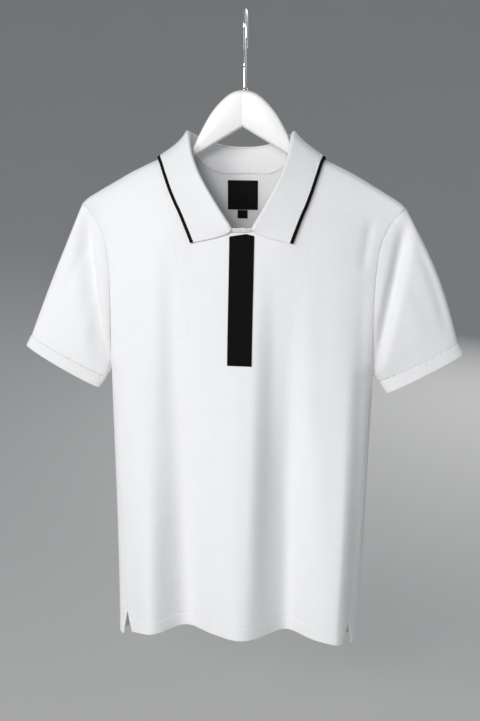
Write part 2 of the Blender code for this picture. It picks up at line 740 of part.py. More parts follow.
def make_collar():
    leaf_line = leaf_stations()
    stand_line = list(FRONT_STATIONS) + leaf_line

    def stand(across, along):
        side, station = walk(stand_line, across)
        return stand_point(side, station, 1 - along)

    def leaf(across, along):
        side, station = walk(leaf_line, across)
        row = (1 - along) * LEAF_ROWS
        if row <= ROLL_ROWS:
            return leaf_point(side, station, ROLL_PART * row / ROLL_ROWS)
        share = (row - ROLL_ROWS) / (LEAF_ROWS - ROLL_ROWS)
        return leaf_point(side, station, blend(ROLL_PART, white_share(side, station), share))

    def binding(across, along):
        side, station = walk(leaf_line, across)
        return leaf_point(side, station, blend(1.0, white_share(side, station), along))

    def stand_inward(across, along):
        side, station = walk(stand_line, across)
        if station < LEAF_STARTS - 0.001:
            return inward_of(stand, across, along)
        return -roll_frame(side, station)[2]

    def leaf_outward(across, along):
        side, station = walk(leaf_line, across)
        if along > 0.999:
            return -roll_frame(side, station)[2]
        return inward_of(leaf, across, along)

    def binding_outward(across, along):
        return inward_of(binding, across, along)

    def raised(across, along):
        return binding(across, along) - binding_outward(across, along) * BINDING_PROUD

    stand_cells = 2 * (len(stand_line) - 1)
    leaf_cells = 2 * (len(leaf_line) - 1)
    sheet("collar_stand", (stand_cells, STAND_ROWS), stand, CLOTH, "white_knit", stand_inward)
    sheet("collar_leaf", (leaf_cells, LEAF_ROWS), leaf, CLOTH, "white_knit", leaf_outward)
    sheet(
        "collar_binding", (leaf_cells, 1), raised, BINDING_CLOTH, "black_twill",
        binding_outward,
    )


# ---- placket and labels ----
def column_run(half, cell, first_down, last_down, face):
    """Points down one column of a panel, on its own edges, moved out from its face."""
    column = OUTER_CELLS + cell
    points = [panel_point(half, column, row) for row in range(ARM_ROWS + SIDE_ROWS)]
    inwards = [panel_inward(half, column, row) for row in range(ARM_ROWS + SIDE_ROWS)]
    run = []

    def add(index, share):
        point = points[index].lerp(points[index + 1], share)
        direction = inwards[index].lerp(inwards[index + 1], share)
        run.append((point + direction * face, direction))

    for index in range(len(points) - 1):
        high, low = -points[index].z, -points[index + 1].z
        if high < first_down <= low:
            add(index, (first_down - high) / (low - high))
        if first_down < low < last_down:
            add(index, 1.0)
        if high < last_down <= low:
            add(index, (last_down - high) / (low - high))
    return run


def band(name, runs, thickness, finish_name, towards):
    """A flat piece on a panel: one run of points for each column, thickened away from it."""
    shape = bmesh.new()
    length = min(len(run) for run in runs)
    runs = [run[-length:] for run in runs]
    layer = shape.verts.layers.float_vector.new("inward")
    grid = []
    for run in runs:
        line = []
        for point, direction in run:
            vert = shape.verts.new(point)
            vert[layer] = direction * thickness * towards
            line.append(vert)
        grid.append(line)
    for left, right in zip(grid, grid[1:]):
        for row in range(length - 1):
            shape.faces.new((left[row], right[row], right[row + 1], left[row + 1]))
    grown = bmesh.ops.extrude_face_region(shape, geom=shape.faces[:], use_keep_orig=True)
    for item in grown["geom"]:
        if isinstance(item, bmesh.types.BMVert):
            item.co += item[layer]
    return add_object(name, shape, finish_name)


def make_placket():
    low, high = PLACKET_CELLS
    runs = []
    for cell, top in zip(range(low, high + 1), PLACKET_TOP_DOWN):
        runs.append(column_run(-1, cell, top, PLACKET_FOOT_DOWN, -SEAM_GAP))
    band("placket", runs, PLACKET_CLOTH, "black_twill", -1)


def make_labels():
    low, high = LABEL_CELLS
    face = CLOTH + SEAM_GAP
    runs = [column_run(1, cell, *LABEL_DOWN, face) for cell in range(low, high + 1)]
    band("neck_label", runs, LABEL_CLOTH, "black_satin_weave", 1)
    tab_runs = []
    for x in TAB_X:
        line = []
        for down in TAB_DOWN:
            point = cloth_at(1, x / PANEL_WIDTH, down)
            line.append((point + TOWARDS_FRONT * (face + TAB_LIFT), TOWARDS_FRONT))
        tab_runs.append(line)
    band("size_tab", tab_runs, LABEL_CLOTH, "black_satin_weave", 1)


# ---- hanger and hook ----
def hanger_outline():
    """Half of the hanger's outline in its plane, from the top middle to the middle below."""
    line = [(row.x, row.down) for row in HANGER_TOP]
    for x in ARM_TOP_X:
        line.append((x, read(CREST, "down", x) + HANGER_DROP))
    line += [(row.x, row.down) for row in HANGER_TIP + HANGER_UNDER]
    return line


def make_hanger():
    shape = bmesh.new()
    right = hanger_outline()
    left = [(-x, down) for x, down in reversed(right)][1:-1]
    verts = [shape.verts.new((x, -HANGER_HALF, -down)) for x, down in right + left]
    face = shape.faces.new(verts)
    grown = bmesh.ops.extrude_face_region(shape, geom=[face], use_keep_orig=True)
    for item in grown["geom"]:
        if isinstance(item, bmesh.types.BMVert):
            item.co.y += 2 * HANGER_HALF
    bmesh.ops.recalc_face_normals(shape, faces=shape.faces)
    rims = [edge for edge in shape.edges if abs(edge.verts[0].co.y - edge.verts[1].co.y) < 1]
    bmesh.ops.bevel(
        shape, geom=rims, offset=HANGER_BEVEL, segments=3, profile=0.5, affect="EDGES",
        clamp_overlap=True, material=-1,
    )
    bmesh.ops.bisect_plane(
        shape, geom=shape.verts[:] + shape.edges[:] + shape.faces[:],
        plane_co=(0, 0, 0), plane_no=(1, 0, 0),
    )
    for vert in shape.verts:
        vert.co.y -= CREST_SWEEP * abs(vert.co.x)
        vert.co.x += blend(HANGER_X, ARM_X, min(abs(vert.co.x) / ARM_FROM, 1))
    bmesh.ops.triangulate(shape, faces=shape.faces[:])
    add_object("hanger", shape, "white_painted_wood", sharp_angle=40)


def hook_route():
    """The wire's middle line in the plane across the hanger: (y, down) from foot to tip."""
    radius = HOOK_LOOP + WIRE / 2
    first, last = LOOP_TURNS
    loop = []
    for step in range(LOOP_STEPS + 1):
        turn = radians(blend(first, last, step / LOOP_STEPS))
        loop.append(WireRow(radius * cos(turn), HOOK_LOOP - radius * sin(turn)))
    return SHANK + loop + HOOK_TIP


def make_hook():
    route = hook_route()
    curve = bpy.data.curves.new("hook", "CURVE")
    curve.dimensions = "3D"
    curve.bevel_depth = WIRE / 2 * MM
    curve.bevel_resolution = 2
    curve.use_fill_caps = True
    line = curve.splines.new("POLY")
    line.points.add(len(route) - 1)
    for point, (y, down) in zip(line.points, route):
        point.co = (0, y * MM, -down * MM, 1)
    curve.materials.append(finish("chrome"))
    piece = bpy.data.objects.new("hook", curve)
    bpy.context.scene.collection.objects.link(piece)


def make_ferrule():
    shape = bmesh.new()
    top, foot = FERRULE_DOWN
    bmesh.ops.create_cone(
        shape, cap_ends=True, segments=16, radius1=FERRULE_RADIUS, radius2=FERRULE_RADIUS - 1,
        depth=foot - top,
    )
    bmesh.ops.translate(shape, vec=(0, 0, -(top + foot) / 2), verts=shape.verts)
    add_object("hook_ferrule", shape, "chrome", sharp_angle=30)


def main():
    for old in list(bpy.data.objects):
        bpy.data.objects.remove(old, do_unlink=True)
    make_body()
    for side, name in ((-1, "left"), (1, "right")):
        make_sleeve(side, name)
        make_cuff(side, name)
    make_collar()
    make_placket()
    make_labels()
    make_hanger()
    make_hook()
    make_ferrule()


main()
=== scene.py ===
"""The looks of a short-sleeved polo shirt on a painted wooden hanger with a chrome hook.

Sizes are in millimetres, and each piece is scaled to metres as it is finished. The origin is the
seat of the hook, +X is to the right of the front, +Y goes through the shirt to its back, and
"down" is the distance below the origin.
"""

from collections import namedtuple
from math import asin, cos, exp, pi, radians, sin, sqrt

import bmesh
import bpy
import numpy as np
from mathutils import Matrix, Vector


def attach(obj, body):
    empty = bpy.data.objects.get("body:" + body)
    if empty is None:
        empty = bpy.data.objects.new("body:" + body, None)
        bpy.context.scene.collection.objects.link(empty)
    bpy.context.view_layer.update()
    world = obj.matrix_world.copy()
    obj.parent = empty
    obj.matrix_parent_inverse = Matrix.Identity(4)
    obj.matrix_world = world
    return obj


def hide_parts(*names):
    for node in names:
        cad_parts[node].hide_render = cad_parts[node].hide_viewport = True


def table(columns, *rows):
    """Rows of sizes with named columns."""
    kind = namedtuple("Row", columns)
    return [kind(*row) for row in rows]


MM = 0.001
CLOTH = 1.6
CUFF_CLOTH = 2.4
BINDING_CLOTH = 2.4
PLACKET_CLOTH = 1.2
LABEL_CLOTH = 0.8
SEAM_GAP = 0.3

# ---- the body ----
PANEL_WIDTH = 184.0  # half-width that the columns of a panel are measured against
SHOULDER_X = 223.5  # half-width at the shoulder tips
UNDERARM_DOWN = 491.0
VENT_DOWN = 846.0
FRONT_HEM_DOWN = 870.5
BACK_HEM_DOWN = 885.0
SIDE_SAG = {-1: 4.4, 1: 0.0}  # how much lower each side hangs at its vent
HEM_CORNER = {-1: 9.0, 1: 0.0}  # how much lower the front and the back are at their corners
SAG_POWER = 4.4  # how close to the sides this stays
VENT_SHARE = 0.91  # the panels' share at the vents
VENT_OPENS = {-1: -7.0, 1: 5.0}  # degrees that each panel's edge turns away below the vent
VENT_RUN = 29.0  # the drop over which it does
CREST_RADIUS = 8.5  # the cloth's bend over the hanger
CREST_FALL = {-1: 42.0, 1: 20.0}  # how fast the front and the back leave the hanger
SHOULDER_SEAM = -1.18  # the seam lies just in front of the crest
NECK_X = 77.0  # last column of the neckline
FRONT_NECK_DOWN = 291.6
FRONT_NECK_POWER = 2.4
BACK_NECK_REACH = 7.0
BACK_NECK_POWER = 3.2  # over 2 makes the back of the neckline flatter
NECK_EASES = 1.15  # times the neck's half-width at which the rows are half eased
NECK_EASE_POWER = 6
NECK_EASE_ROWS = 5.0  # rows below the neck by which they run smoothly
CREST_SWEEP = 0.035  # the hanger's arms lean forward by this much of their length
SWEEP_FALL = 80.0  # how far down the cloth still follows the arms' lean
ROUND_POWER = 2.4  # roundness of the body, seen from above
EDGE_POWER = 10  # how close to its edge a panel turns in to the seam
EDGE_EASES = (400.0, 590.0)  # where the panel's sides lose the depth of the armholes
FOLD_FADE = 1.6  # the folds fade out towards the sides

ARM_ROWS = 13
SIDE_ROWS = 9
VENT_ROWS = 2
VENT_ROW = ARM_ROWS + SIDE_ROWS
ROWS = VENT_ROW + VENT_ROWS
NECK_CELLS = 12
OUTER_CELLS = 10
COLUMNS = NECK_CELLS + 2 * OUTER_CELLS

CREST = table(
    "x down",
    (-40, 168), (0, 163), (40, 168), (80, 179),
    (114, 194), (150, 211), (185, 231), (214, 248.5),
    (223.5, 257),
)

ARMHOLE = table(
    "down front_x front_out back_x back_out",
    (257, 223.5, 9, 223.5, 9),
    (266, 212, 11, 216, 10),
    (283, 200, 16, 206, 13),
    (306, 190.5, 21, 198, 17),
    (343, 185, 25, 192, 19),
    (382, 183, 26, 189, 20),
    (422, 183, 24, 187.5, 18),
    (465, 184.8, 15, 186.6, 12),
    (483, 186, 6, 186.3, 5),
    (491, 186.4, 0, 186.4, 0),
)

SIDES = table(
    "down half_width seam_turn",
    (491, 186.4, 90), (530, 185.3, 85), (570, 184.2, 80.5),
    (610, 183.1, 77), (720, 180.4, 71), (800, 178.3, 68),
    (846, 177.2, 66), (885, 176.3, 66),
)

DEPTH = table(
    "down front back lean roundness",
    (175, 50, 36, 0.0, 1.0), (300, 54, 41, 1.2, 1.0),
    (400, 55, 44, 1.6, 0.95), (450, 54, 44, 1.8, 0.8),
    (491, 52, 44, 2.0, 0.55), (600, 48, 42, 2.7, 0.5),
    (720, 45, 39, 3.5, 0.5), (885, 42, 37, 2.4, 0.5),
)

FOLD_COLUMNS = "top_x hem_x width begins full depth"
FOLDS = {
    -1: table(
        FOLD_COLUMNS,
        (-129, -121, 24, 520, 850, 15),
        (-93, -71, 28, 250, 860, -27),
        (6, 10, 32, 330, 860, 20),
        (65, 74, 26, 270, 760, -27),
        (122, 130, 26, 480, 850, 13),
        (162, 157, 22, 350, 820, 18),
        (171, 171, 9, 330, 400, -3),
    ),
    1: table(
        FOLD_COLUMNS,
        (-126, -118, 28, 420, 850, 9),
        (-60, -52, 30, 330, 850, -12),
        (0, 8, 30, 420, 850, 10),
        (62, 66, 28, 340, 850, -13),
        (120, 126, 28, 430, 850, 9),
    ),
}

# Small creases of the cloth, each along a line from its head to its foot. Depth is inwards.
CREASE_FADE = 4.0  # creases run closer to the sides than folds do
CREASE_COLUMNS = "head_x head_down foot_x foot_down width depth"
CREASES = {
    -1: table(
        CREASE_COLUMNS,
        (178, 262, 168, 350, 8, 2.6),
        (-190, 268, -171, 392, 12, 0.9),
        (-112, 272, -112, 620, 13, -1.6),
        (-92, 272, -92, 620, 13, 1.7),
        (25, 290, 26, 900, 11, -2.4),
        (47, 290, 48, 900, 11, 2.6),
        (112, 300, 116, 640, 14, 1.1),
        (-150, 500, -153, 820, 12, -0.8),
        (8, 560, 10, 880, 12, 0.9),
        (-34, 470, -40, 880, 15, -0.9),
    ),
    1: table(
        CREASE_COLUMNS,
        (196, 276, 171, 400, 9, 2.0),
        (-194, 272, -176, 410, 8, 1.7),
        (-104, 262, -96, 560, 14, 1.3),
        (-24, 246, -30, 520, 13, 1.1),
        (34, 300, 27, 600, 14, -1.2),
        (92, 250, 88, 520, 12, 1.4),
        (148, 430, 156, 760, 11, 1.7),
        (-152, 480, -148, 850, 10, 1.5),
        (-88, 620, -84, 880, 11, -1.2),
        (98, 640, 95, 880, 12, 1.2),
        (-6, 660, -2, 880, 11, 1.1),
    ),
}

CELL_COLUMNS = "at_neck below"
NECK_COLUMNS = {
    -1: table(
        CELL_COLUMNS,
        (-77, -99), (-74.3, -86), (-66.6, -73),
        (-54.4, -58), (-36, -37), (-14.6, -15.6),
        (2.2, 1.3), (19, 18.2), (37, 38),
        (54.4, 53), (66.6, 66), (74.3, 80), (77, 95),
    ),
    1: table(
        CELL_COLUMNS,
        (-77, -92), (-74.3, -78), (-66.6, -64),
        (-54.4, -50), (-38, -36), (-24.2, -24.2),
        (-3, -3), (18.6, 18.6), (38, 36),
        (54.4, 50), (66.6, 64), (74.3, 78), (77, 92),
    ),
}
MIDDLE_CELL = NECK_CELLS // 2

# ---- sleeves and cuffs ----
SleeveRow = namedtuple("SleeveRow", "outer_x outer_down inner_x inner_down bow")
SLEEVE_END = {
    -1: SleeveRow(300.5, 445, 192.5, 503, 2.0),
    1: SleeveRow(304, 441, 198.5, 498, 8.5),
}
CUFF_END = {
    -1: SleeveRow(308, 460, 203, 518.5, 0.0),
    1: SleeveRow(312.5, 456, 208.5, 514.5, 0.0),
}
SLEEVE_OUT = {-1: 15.0, 1: 13.0}  # the cuff's half-depth in front and behind
SLEEVE_SWELL = {-1: 7.0, 1: 6.0}
CUFF_PROUD = 0.8  # over the sleeve
TroughRow = namedtuple("TroughRow", "top_x foot_x outer_width inner_width depth")
TROUGHS = {-1: TroughRow(215, 188, 18, 7, 11.0), 1: TroughRow(224, 188, 9, 9, 11.5)}
TROUGH_DOWN = (285.0, 485.0)
TROUGH_STARTS = 0.05  # share of the sleeve over which it deepens from the armhole
TROUGH_ENDS = (0.15, 0.25)  # how far it runs on past both, and the share it takes to fade
BOW_WAY = (0.92, 0.39)  # the sleeve's upper side bows outwards and up

# Creases of a sleeve: along runs from the armhole to the cuff, turn from the underarm round.
SLEEVE_CREASE_COLUMNS = "head_turn foot_turn head foot width depth"
SLEEVE_CREASES = {
    -1: table(
        SLEEVE_CREASE_COLUMNS,
        (0.33, 0.36, 0.02, 0.75, 0.022, 1.6),
        (0.24, 0.2, 0.1, 0.9, 0.025, -1.3),
        (0.72, 0.7, 0.05, 0.85, 0.03, 2.2),
        (0.82, 0.84, 0.02, 0.6, 0.025, 1.6),
    ),
    1: table(
        SLEEVE_CREASE_COLUMNS,
        (0.42, 0.4, 0.12, 0.98, 0.03, 2.0),
        (0.27, 0.3, 0.25, 0.95, 0.03, -1.2),
        (0.66, 0.7, 0.05, 0.8, 0.03, 2.0),
        (0.8, 0.77, 0.05, 0.9, 0.025, 1.8),
    ),
}

# ---- collar ----
# A station runs from 0 at the front middle through 6 at the shoulder seam to 12 behind.
LEAF_STARTS = 0.77
LEAF_ARCH = (0.13, 0.22)  # how far the leaf arches up, by its front end and by its sides
ROLL_RADIUS = 1.8  # of the leaf's inner face
LEAF_LIFT = 2.1  # of the leaf's inner face over the panels
BINDING_WIDTH = 6.4  # in the leaf's own steps, which are closer together at its edge
BINDING_PROUD = 0.4  # over the leaf's inner face
SIDE_STATION = 6.0
LAST_STATION = 12.0
ROLL_PART = 0.25  # the part of the leaf that goes over the roll
LEAF_SET = 0.35  # how much the leaf's rows draw together at both of its ends
EDGE_LEAN = 0.6  # share of the roll's sideways lean that the leaf's edge has

ROLL = table(
    "station x y down middle",
    (0.0, 0, -56.5, 285.3, 3.4), (0.77, 13, -57, 285.4, 3.4),
    (1, 17, -56.5, 278, 3.0), (2, 31.5, -52, 255, 1.5),
    (3, 45.5, -46, 231, 0.0), (4, 57, -37, 208, -1.6),
    (5, 65.3, -24, 184, -3.0), (6, 69.5, -7, 158.8, -4.2),
    (7, 69.5, 8, 157, -4.2), (8, 63, 20, 160.5, -4.0),
    (9, 52, 29.5, 165.5, -3.4), (10, 38, 35.5, 170.5, -2.8),
    (11, 20, 38.5, 174, -2.2), (12, 0, 39.5, 175, -2.0),
)
POINT_REACH = {-1: -0.16, 1: 0.0}  # the left point hangs a little lower
LEAF_EDGE = table(
    "station x reach",
    (0.77, 70.5, -11.34), (2, 80.5, -9.99), (3, 88.5, -8.69),
    (4, 97, -7.13), (5, 105, -5.0), (5.5, 109, -3.4),
    (6, 112.5, -1.5), (6.5, 113.5, 0.4), (7, 113, 2.1),
    (8, 105, 4.3), (9, 88, 6.0), (10, 62, 7.3),
    (11, 32, 8.1), (12, 0, 8.45),
)

# ---- placket and labels ----
PLACKET_EDGES = ((-14.6, -15.6), (19.0, 18.2))  # x of each side at the top and the foot
PLACKET_TOP_DOWN = (296.5, 292.6, 295.3)  # its top edge is a shallow peak
PLACKET_PEAK = 0.68  # where the peak is, as a share of the width
PLACKET_FOOT_DOWN = 472.0
LABEL_X = (-24.2, 18.6)
LABEL_DOWN = (221.4, 262.8)
TAB_X = (-10.5, 4.0)
TAB_DOWN = (263.1, 275.0)

# ---- hanger and hook ----
HANGER_HALF = 5.5
HANGER_BEVEL = 4.6
HANGER_TOP = table(
    "x down",
    (0, 101.5), (11, 103.2), (21, 108.2), (33, 118.8),
    (45, 133.5), (53, 147), (60, 160), (66.5, 173),
    (74, 181.5), (82, 184.6), (97, 190.8),
)
HANGER_UNDER = table(
    "x down",
    (196, 268.5), (150, 243), (110, 218.5),
    (66, 190), (33, 169.7), (0, 150.2),
)
ARM_TURNS_X = 199.0  # where the arm's upper edge turns down to its tip
TIP_X = 207.0
TIP_DOWN = (258.0, 265.0)  # the tip's upper and lower edge
UNDER_TURN = 10.0  # the distance over which its lower edge turns up
TIP_SECTIONS = [(206.6, 0.8), (207, 0.5), (207, 0.0)]  # x, and share of the full section
HANGER_X = -1.5  # the hanger's middle, which its arms leave for the shirt's own
ARM_X = 0.7
ARM_LEAVES = 90.0  # the distance over which they do
HANGER_DROP = 2.5  # from the cloth's outer face down to the wood

WIRE = 4.2
HOOK_LOOP = 20.0  # inner radius of the loop
SHANK = table(
    "y down",
    (0, 97.6), (0, 82), (0, 70), (-1.5, 62), (-6.5, 54.5),
    (-13.5, 46),
)
LOOP_TURNS = (205.0, 25.0)  # degrees at which the loop starts and ends
LOOP_STEPS = 18
HOOK_TIP = table("y down", (21.75, 27), (21.3, 35), (20.5, 43))
JOINT_DOWN = (68.0, 71.5)  # a joint in the wire, a little thicker than the wire
JOINT_PROUD = 0.22
FERRULE_RADIUS = 4.6
FERRULE_DOWN = (98.4, 101.0)

# ---- sewing ----
SEAM_ROLL = 0.32  # how far the cloth's edge rolls in at a seam
SEAM_DRAW = 0.06  # how far each edge stands back from the seam's line
TURNING = 0.4  # height of a turned or backed edge
STITCH_IN = 6.0  # topstitching's distance from a seam
HEM_TURN = 20.0  # height of the turned hem
PLACKET_STITCH_IN = 2.8
PLACKET_SIZE = (33.6, 178.0)
PLACKET_BOX = 30.0  # height of the stitched box at its foot
LABEL_STITCH_IN = 1.6
RIM_ROUND = 0.35  # how far a free rim is rounded off
ROLL_REACH = 0.8  # how far from a seam or a rim these reach
RIM_REACH = 0.4
HEM_GROOVE = 0.35
STITCH_GROOVE = 0.3
GROOVE_REACH = 0.7
FAR = 99.0
SEAM_SEEN = 20.0  # how far from a seam the cloth's finish knows of it
StitchSize = namedtuple("StitchSize", "pitch length width height")
TOPSTITCH = StitchSize(3.3, 2.6, 0.55, 0.4)
FINE_STITCH = StitchSize(2.3, 1.8, 0.4, 0.3)
STITCH_PROUD = 0.15  # of its height
GRID_STEP = 0.05  # over which a face's turn is measured, in cells of a panel
SHARE_STEP = 0.004  # and in shares of a small piece

EDGE_LINES = (0.0, 0.05, 0.11, 0.2, 0.36, 0.55, 0.78)  # lines by a panel's edge, in cells
LINES_CLOSE = 0.02  # lines closer together than this are one
COLUMN_LINES = 5  # lines to a cell of a panel, across and down
ROW_LINES = 6
SLEEVE_CELLS = 8

# ---- room, lamps and camera, in metres ----
FLOOR = -1.12
ROOM_RADIUS = 9.0
WALL_HEIGHT = 5.0
WALL_STARTS = 0.12  # share of the radius where the floor starts to turn up
ROOM_SIDES = 64
ROOM_RINGS = 24
AMBIENT = 0.32
# name, place, power in watts and size
LAMPS = [
    ("key", (-1.6, -2.05, 0.2), 28.5, 0.9), ("fill", (1.5, -1.9, -0.4), 2, 1.4),
    ("front", (-0.5, -2.55, 0.3), 27, 0.8), ("back", (0.9, 2.3, 0.4), 26, 1.8),
]
LAMPS_AIM = (0, 0, -0.5)
CAMERA_PLACE = (0.0976, -1.3966, -0.2271)
CAMERA_ANGLES = (4.0, 10.0, 0.9)  # degrees: to the right, down and rolled
CAMERA_LENS = 49.93  # millimetres
CAMERA_SENSOR = 36.0


# ---- small tools ----
def blend(low, high, share):
    return low + (high - low) * share


def ease(share):
    share = min(max(share, 0.0), 1.0)
    return share * share * (3 - 2 * share)


def taper(part):
    """Rises from nothing over the first third, and falls again over the last."""
    return ease(3 * part) * ease(3 - 3 * part)


def bell(distance, width):
    return exp(-((distance / width) ** 2))


def read(rows, column, at):
    """A smooth curve through one column of a table, read at a value of its first column."""
    if at <= rows[0][0]:
        return getattr(rows[0], column)
    if at >= rows[-1][0]:
        return getattr(rows[-1], column)
    low = max(index for index, row in enumerate(rows) if row[0] <= at)

    def slope(index):
        before, after = rows[max(index - 1, 0)], rows[min(index + 1, len(rows) - 1)]
        return (getattr(after, column) - getattr(before, column)) / (after[0] - before[0])

    span = rows[low + 1][0] - rows[low][0]
    share = (at - rows[low][0]) / span
    start, end = getattr(rows[low], column), getattr(rows[low + 1], column)
    leave, arrive = slope(low) * span, slope(low + 1) * span
    cube, square = share ** 3, share ** 2
    return (
        (2 * cube - 3 * square + 1) * start + (cube - 2 * square + share) * leave
        + (3 * square - 2 * cube) * end + (cube - square) * arrive
    )


# ---- the shirt's surface ----
def side_x(half, down):
    """Half-width of the front (-1) or back (1) panel at a height."""
    if down <= UNDERARM_DOWN:
        return read(ARMHOLE, "front_x" if half < 0 else "back_x", down)
    return read(SIDES, "half_width", down)


def edge_out(half, down):
    """How far the panel's edge stands from the hanger's plane."""
    return read(ARMHOLE, "front_out" if half < 0 else "back_out", down)


def crest_down(share):
    """Height of the shoulder line above a column, which is given as a share of the width."""
    top_x = PANEL_WIDTH * share + (SHOULDER_X - PANEL_WIDTH) * share ** 3
    return read(CREST, "down", abs(top_x))


def fold_out(half, x, down):
    """How far the large folds push the cloth out, at one point of a panel."""
    out = 0.0
    for fold in FOLDS[half]:
        ripe = ease((down - fold.begins) / (fold.full - fold.begins))
        middle = blend(fold.top_x, fold.hem_x, (down - 300) / 575)
        out += fold.depth * ripe * bell(x - middle, fold.width)
    return out


def crease_out(half, x, down):
    """How far the small creases push the cloth out."""
    out = 0.0
    for crease in CREASES[half]:
        part = (down - crease.head_down) / (crease.foot_down - crease.head_down)
        if part <= 0 or part >= 1:
            continue
        middle = blend(crease.head_x, crease.foot_x, part)
        out -= crease.depth * bell(x - middle, crease.width) * taper(part)
    return out


def cloth_at(half, share, down):
    """A point of the outer face: share is the sine of its turn about the body."""
    width = side_x(half, down)
    x = read(DEPTH, "lean", down) + PANEL_WIDTH * share + (width - PANEL_WIDTH) * share ** 3
    fall = max(down - crest_down(share), 0.0)
    edge = edge_out(half, down)
    first, last = EDGE_EASES
    near_edge = edge_out(half, min(down, first)) * (1 - ease((down - first) / (last - first)))
    middle = read(DEPTH, "front" if half < 0 else "back", down)
    hollow = max(1 - abs(share) ** ROUND_POWER, 0.0) ** read(DEPTH, "roundness", down)
    full = blend(near_edge, middle, hollow) + (edge - near_edge) * abs(share) ** EDGE_POWER
    bend = min(fall / CREST_RADIUS, 1.0)
    out = CREST_RADIUS * sqrt(1 - (1 - bend) ** 2)
    out += (full - CREST_RADIUS) * (1 - exp(-fall / CREST_FALL[half]))
    out += fold_out(half, x, down) * min(hollow * FOLD_FADE, 1.0)
    out += crease_out(half, x, down) * min(hollow * CREASE_FADE, 1.0)
    y = half * out - CREST_SWEEP * abs(x) * exp(-fall / SWEEP_FALL)
    return Vector((x, y, -down))


def reach_start(half, share):
    """Where a panel's column starts, as the signed root of its drop from the crest."""
    neck = abs(share) * PANEL_WIDTH / NECK_X
    if neck >= 1:
        return SHOULDER_SEAM
    if half > 0:
        rise = sqrt(1 - neck ** BACK_NECK_POWER)
        return SHOULDER_SEAM + (BACK_NECK_REACH - SHOULDER_SEAM) * rise
    rise = sqrt(1 - neck ** FRONT_NECK_POWER)
    side_down = crest_down(share) + SHOULDER_SEAM ** 2
    down = blend(side_down, FRONT_NECK_DOWN, rise)
    return -sqrt(down - crest_down(share))


def row_start(half, share, row):
    """Where a row's reach is measured from. It loses the neckline's corners as rows go down."""
    middle = BACK_NECK_REACH if half > 0 else -sqrt(FRONT_NECK_DOWN - crest_down(0))
    neck = abs(share) * PANEL_WIDTH / NECK_X
    wide = blend(SHOULDER_SEAM, middle, 1 / (1 + (neck / NECK_EASES) ** NECK_EASE_POWER))
    return blend(reach_start(half, share), wide, ease(row / NECK_EASE_ROWS))


def reach_end(half, share):
    return half * sqrt(UNDERARM_DOWN - crest_down(share))


def arm_share(row):
    """Rows lie closer at the shoulder and at the underarm than between them."""
    part = row / ARM_ROWS
    return part - 0.5 * sin(2 * pi * part) / (2 * pi)


def reach_point(share, reach):
    """A point by its column and its signed reach: negative in front of the crest."""
    half = -1 if reach < 0 else 1
    return cloth_at(half, share, crest_down(share) + reach * reach)


def column_turn(half, column, row):
    """A column's turn about the body, in radians, at a row: its sine is the share."""
    loosened = ease(row / ARM_ROWS)
    neck = [blend(item.at_neck, item.below, loosened) for item in NECK_COLUMNS[half]]
    inner = column - OUTER_CELLS
    if 0 <= inner <= NECK_CELLS:
        low = min(int(inner), NECK_CELLS - 1)
        x = blend(neck[low], neck[low + 1], inner - low)
        return asin(x / PANEL_WIDTH)
    down = row_down(half, row)
    turn = read(SIDES, "seam_turn", down)
    if down > VENT_DOWN:
        turn += VENT_OPENS[half] * (down - VENT_DOWN) / VENT_RUN
    last = radians(turn if half < 0 else 180 - turn)
    if inner < 0:
        return blend(asin(neck[0] / PANEL_WIDTH), -last, -inner / OUTER_CELLS)
    return blend(asin(neck[-1] / PANEL_WIDTH), last, (inner - NECK_CELLS) / OUTER_CELLS)


def hem_down(half):
    return FRONT_HEM_DOWN if half < 0 else BACK_HEM_DOWN


def row_down(half, row):
    """Height of a row below the underarm, and the underarm's for the rows above it."""
    if row <= ARM_ROWS:
        return UNDERARM_DOWN
    if row <= VENT_ROW:
        return blend(UNDERARM_DOWN, VENT_DOWN, (row - ARM_ROWS) / SIDE_ROWS)
    return blend(VENT_DOWN, hem_down(half), (row - VENT_ROW) / VENT_ROWS)


def vent_row(half, down):
    """The row at a height below the vent's top."""
    part = (down - VENT_DOWN) / (hem_down(half) - VENT_DOWN)
    return VENT_ROW + VENT_ROWS * part


def sag(half, share, row):
    """How much lower than its row a point hangs, by its closeness to the sides."""
    near = min(abs(share) / VENT_SHARE, 1.0) ** SAG_POWER
    side = -1 if share < 0 else 1
    drop = SIDE_SAG[side] * ease((row - ARM_ROWS) / SIDE_ROWS)
    return near * (drop + HEM_CORNER[half] * max(row - VENT_ROW, 0) / VENT_ROWS)


def panel_point(half, column, row):
    turn = column_turn(half, column, row)
    share = sin(turn)
    if row <= ARM_ROWS:
        reach = blend(row_start(half, share, row), reach_end(half, share), arm_share(row))
        return reach_point(share, reach)
    facing = half if cos(turn) >= 0 else -half
    return cloth_at(facing, share, row_down(half, row) + sag(half, share, row))


# ---- the sleeves' surface ----
def armhole_point(side, across):
    """The armhole's loop, from the underarm up the front and down behind."""
    half = -1 if across <= 0.5 else 1
    row = ARM_ROWS * abs(1 - 2 * across)
    return panel_point(half, COLUMNS if side > 0 else 0, row)


def ring_point(side, row, across, proud=0.0):
    """A point of the flat oval where a sleeve or a cuff ends."""
    outer = Vector((row.outer_x, 0, -row.outer_down))
    inner = Vector((row.inner_x, 0, -row.inner_down))
    reach = (outer - inner) / 2
    reach += reach.normalized() * proud
    turn = 2 * pi * across
    half = -1 if across <= 0.5 else 1
    point = (outer + inner) / 2 - reach * cos(turn)
    point.y = -(SLEEVE_OUT[half] + proud) * sin(turn)
    point.x *= side
    return point


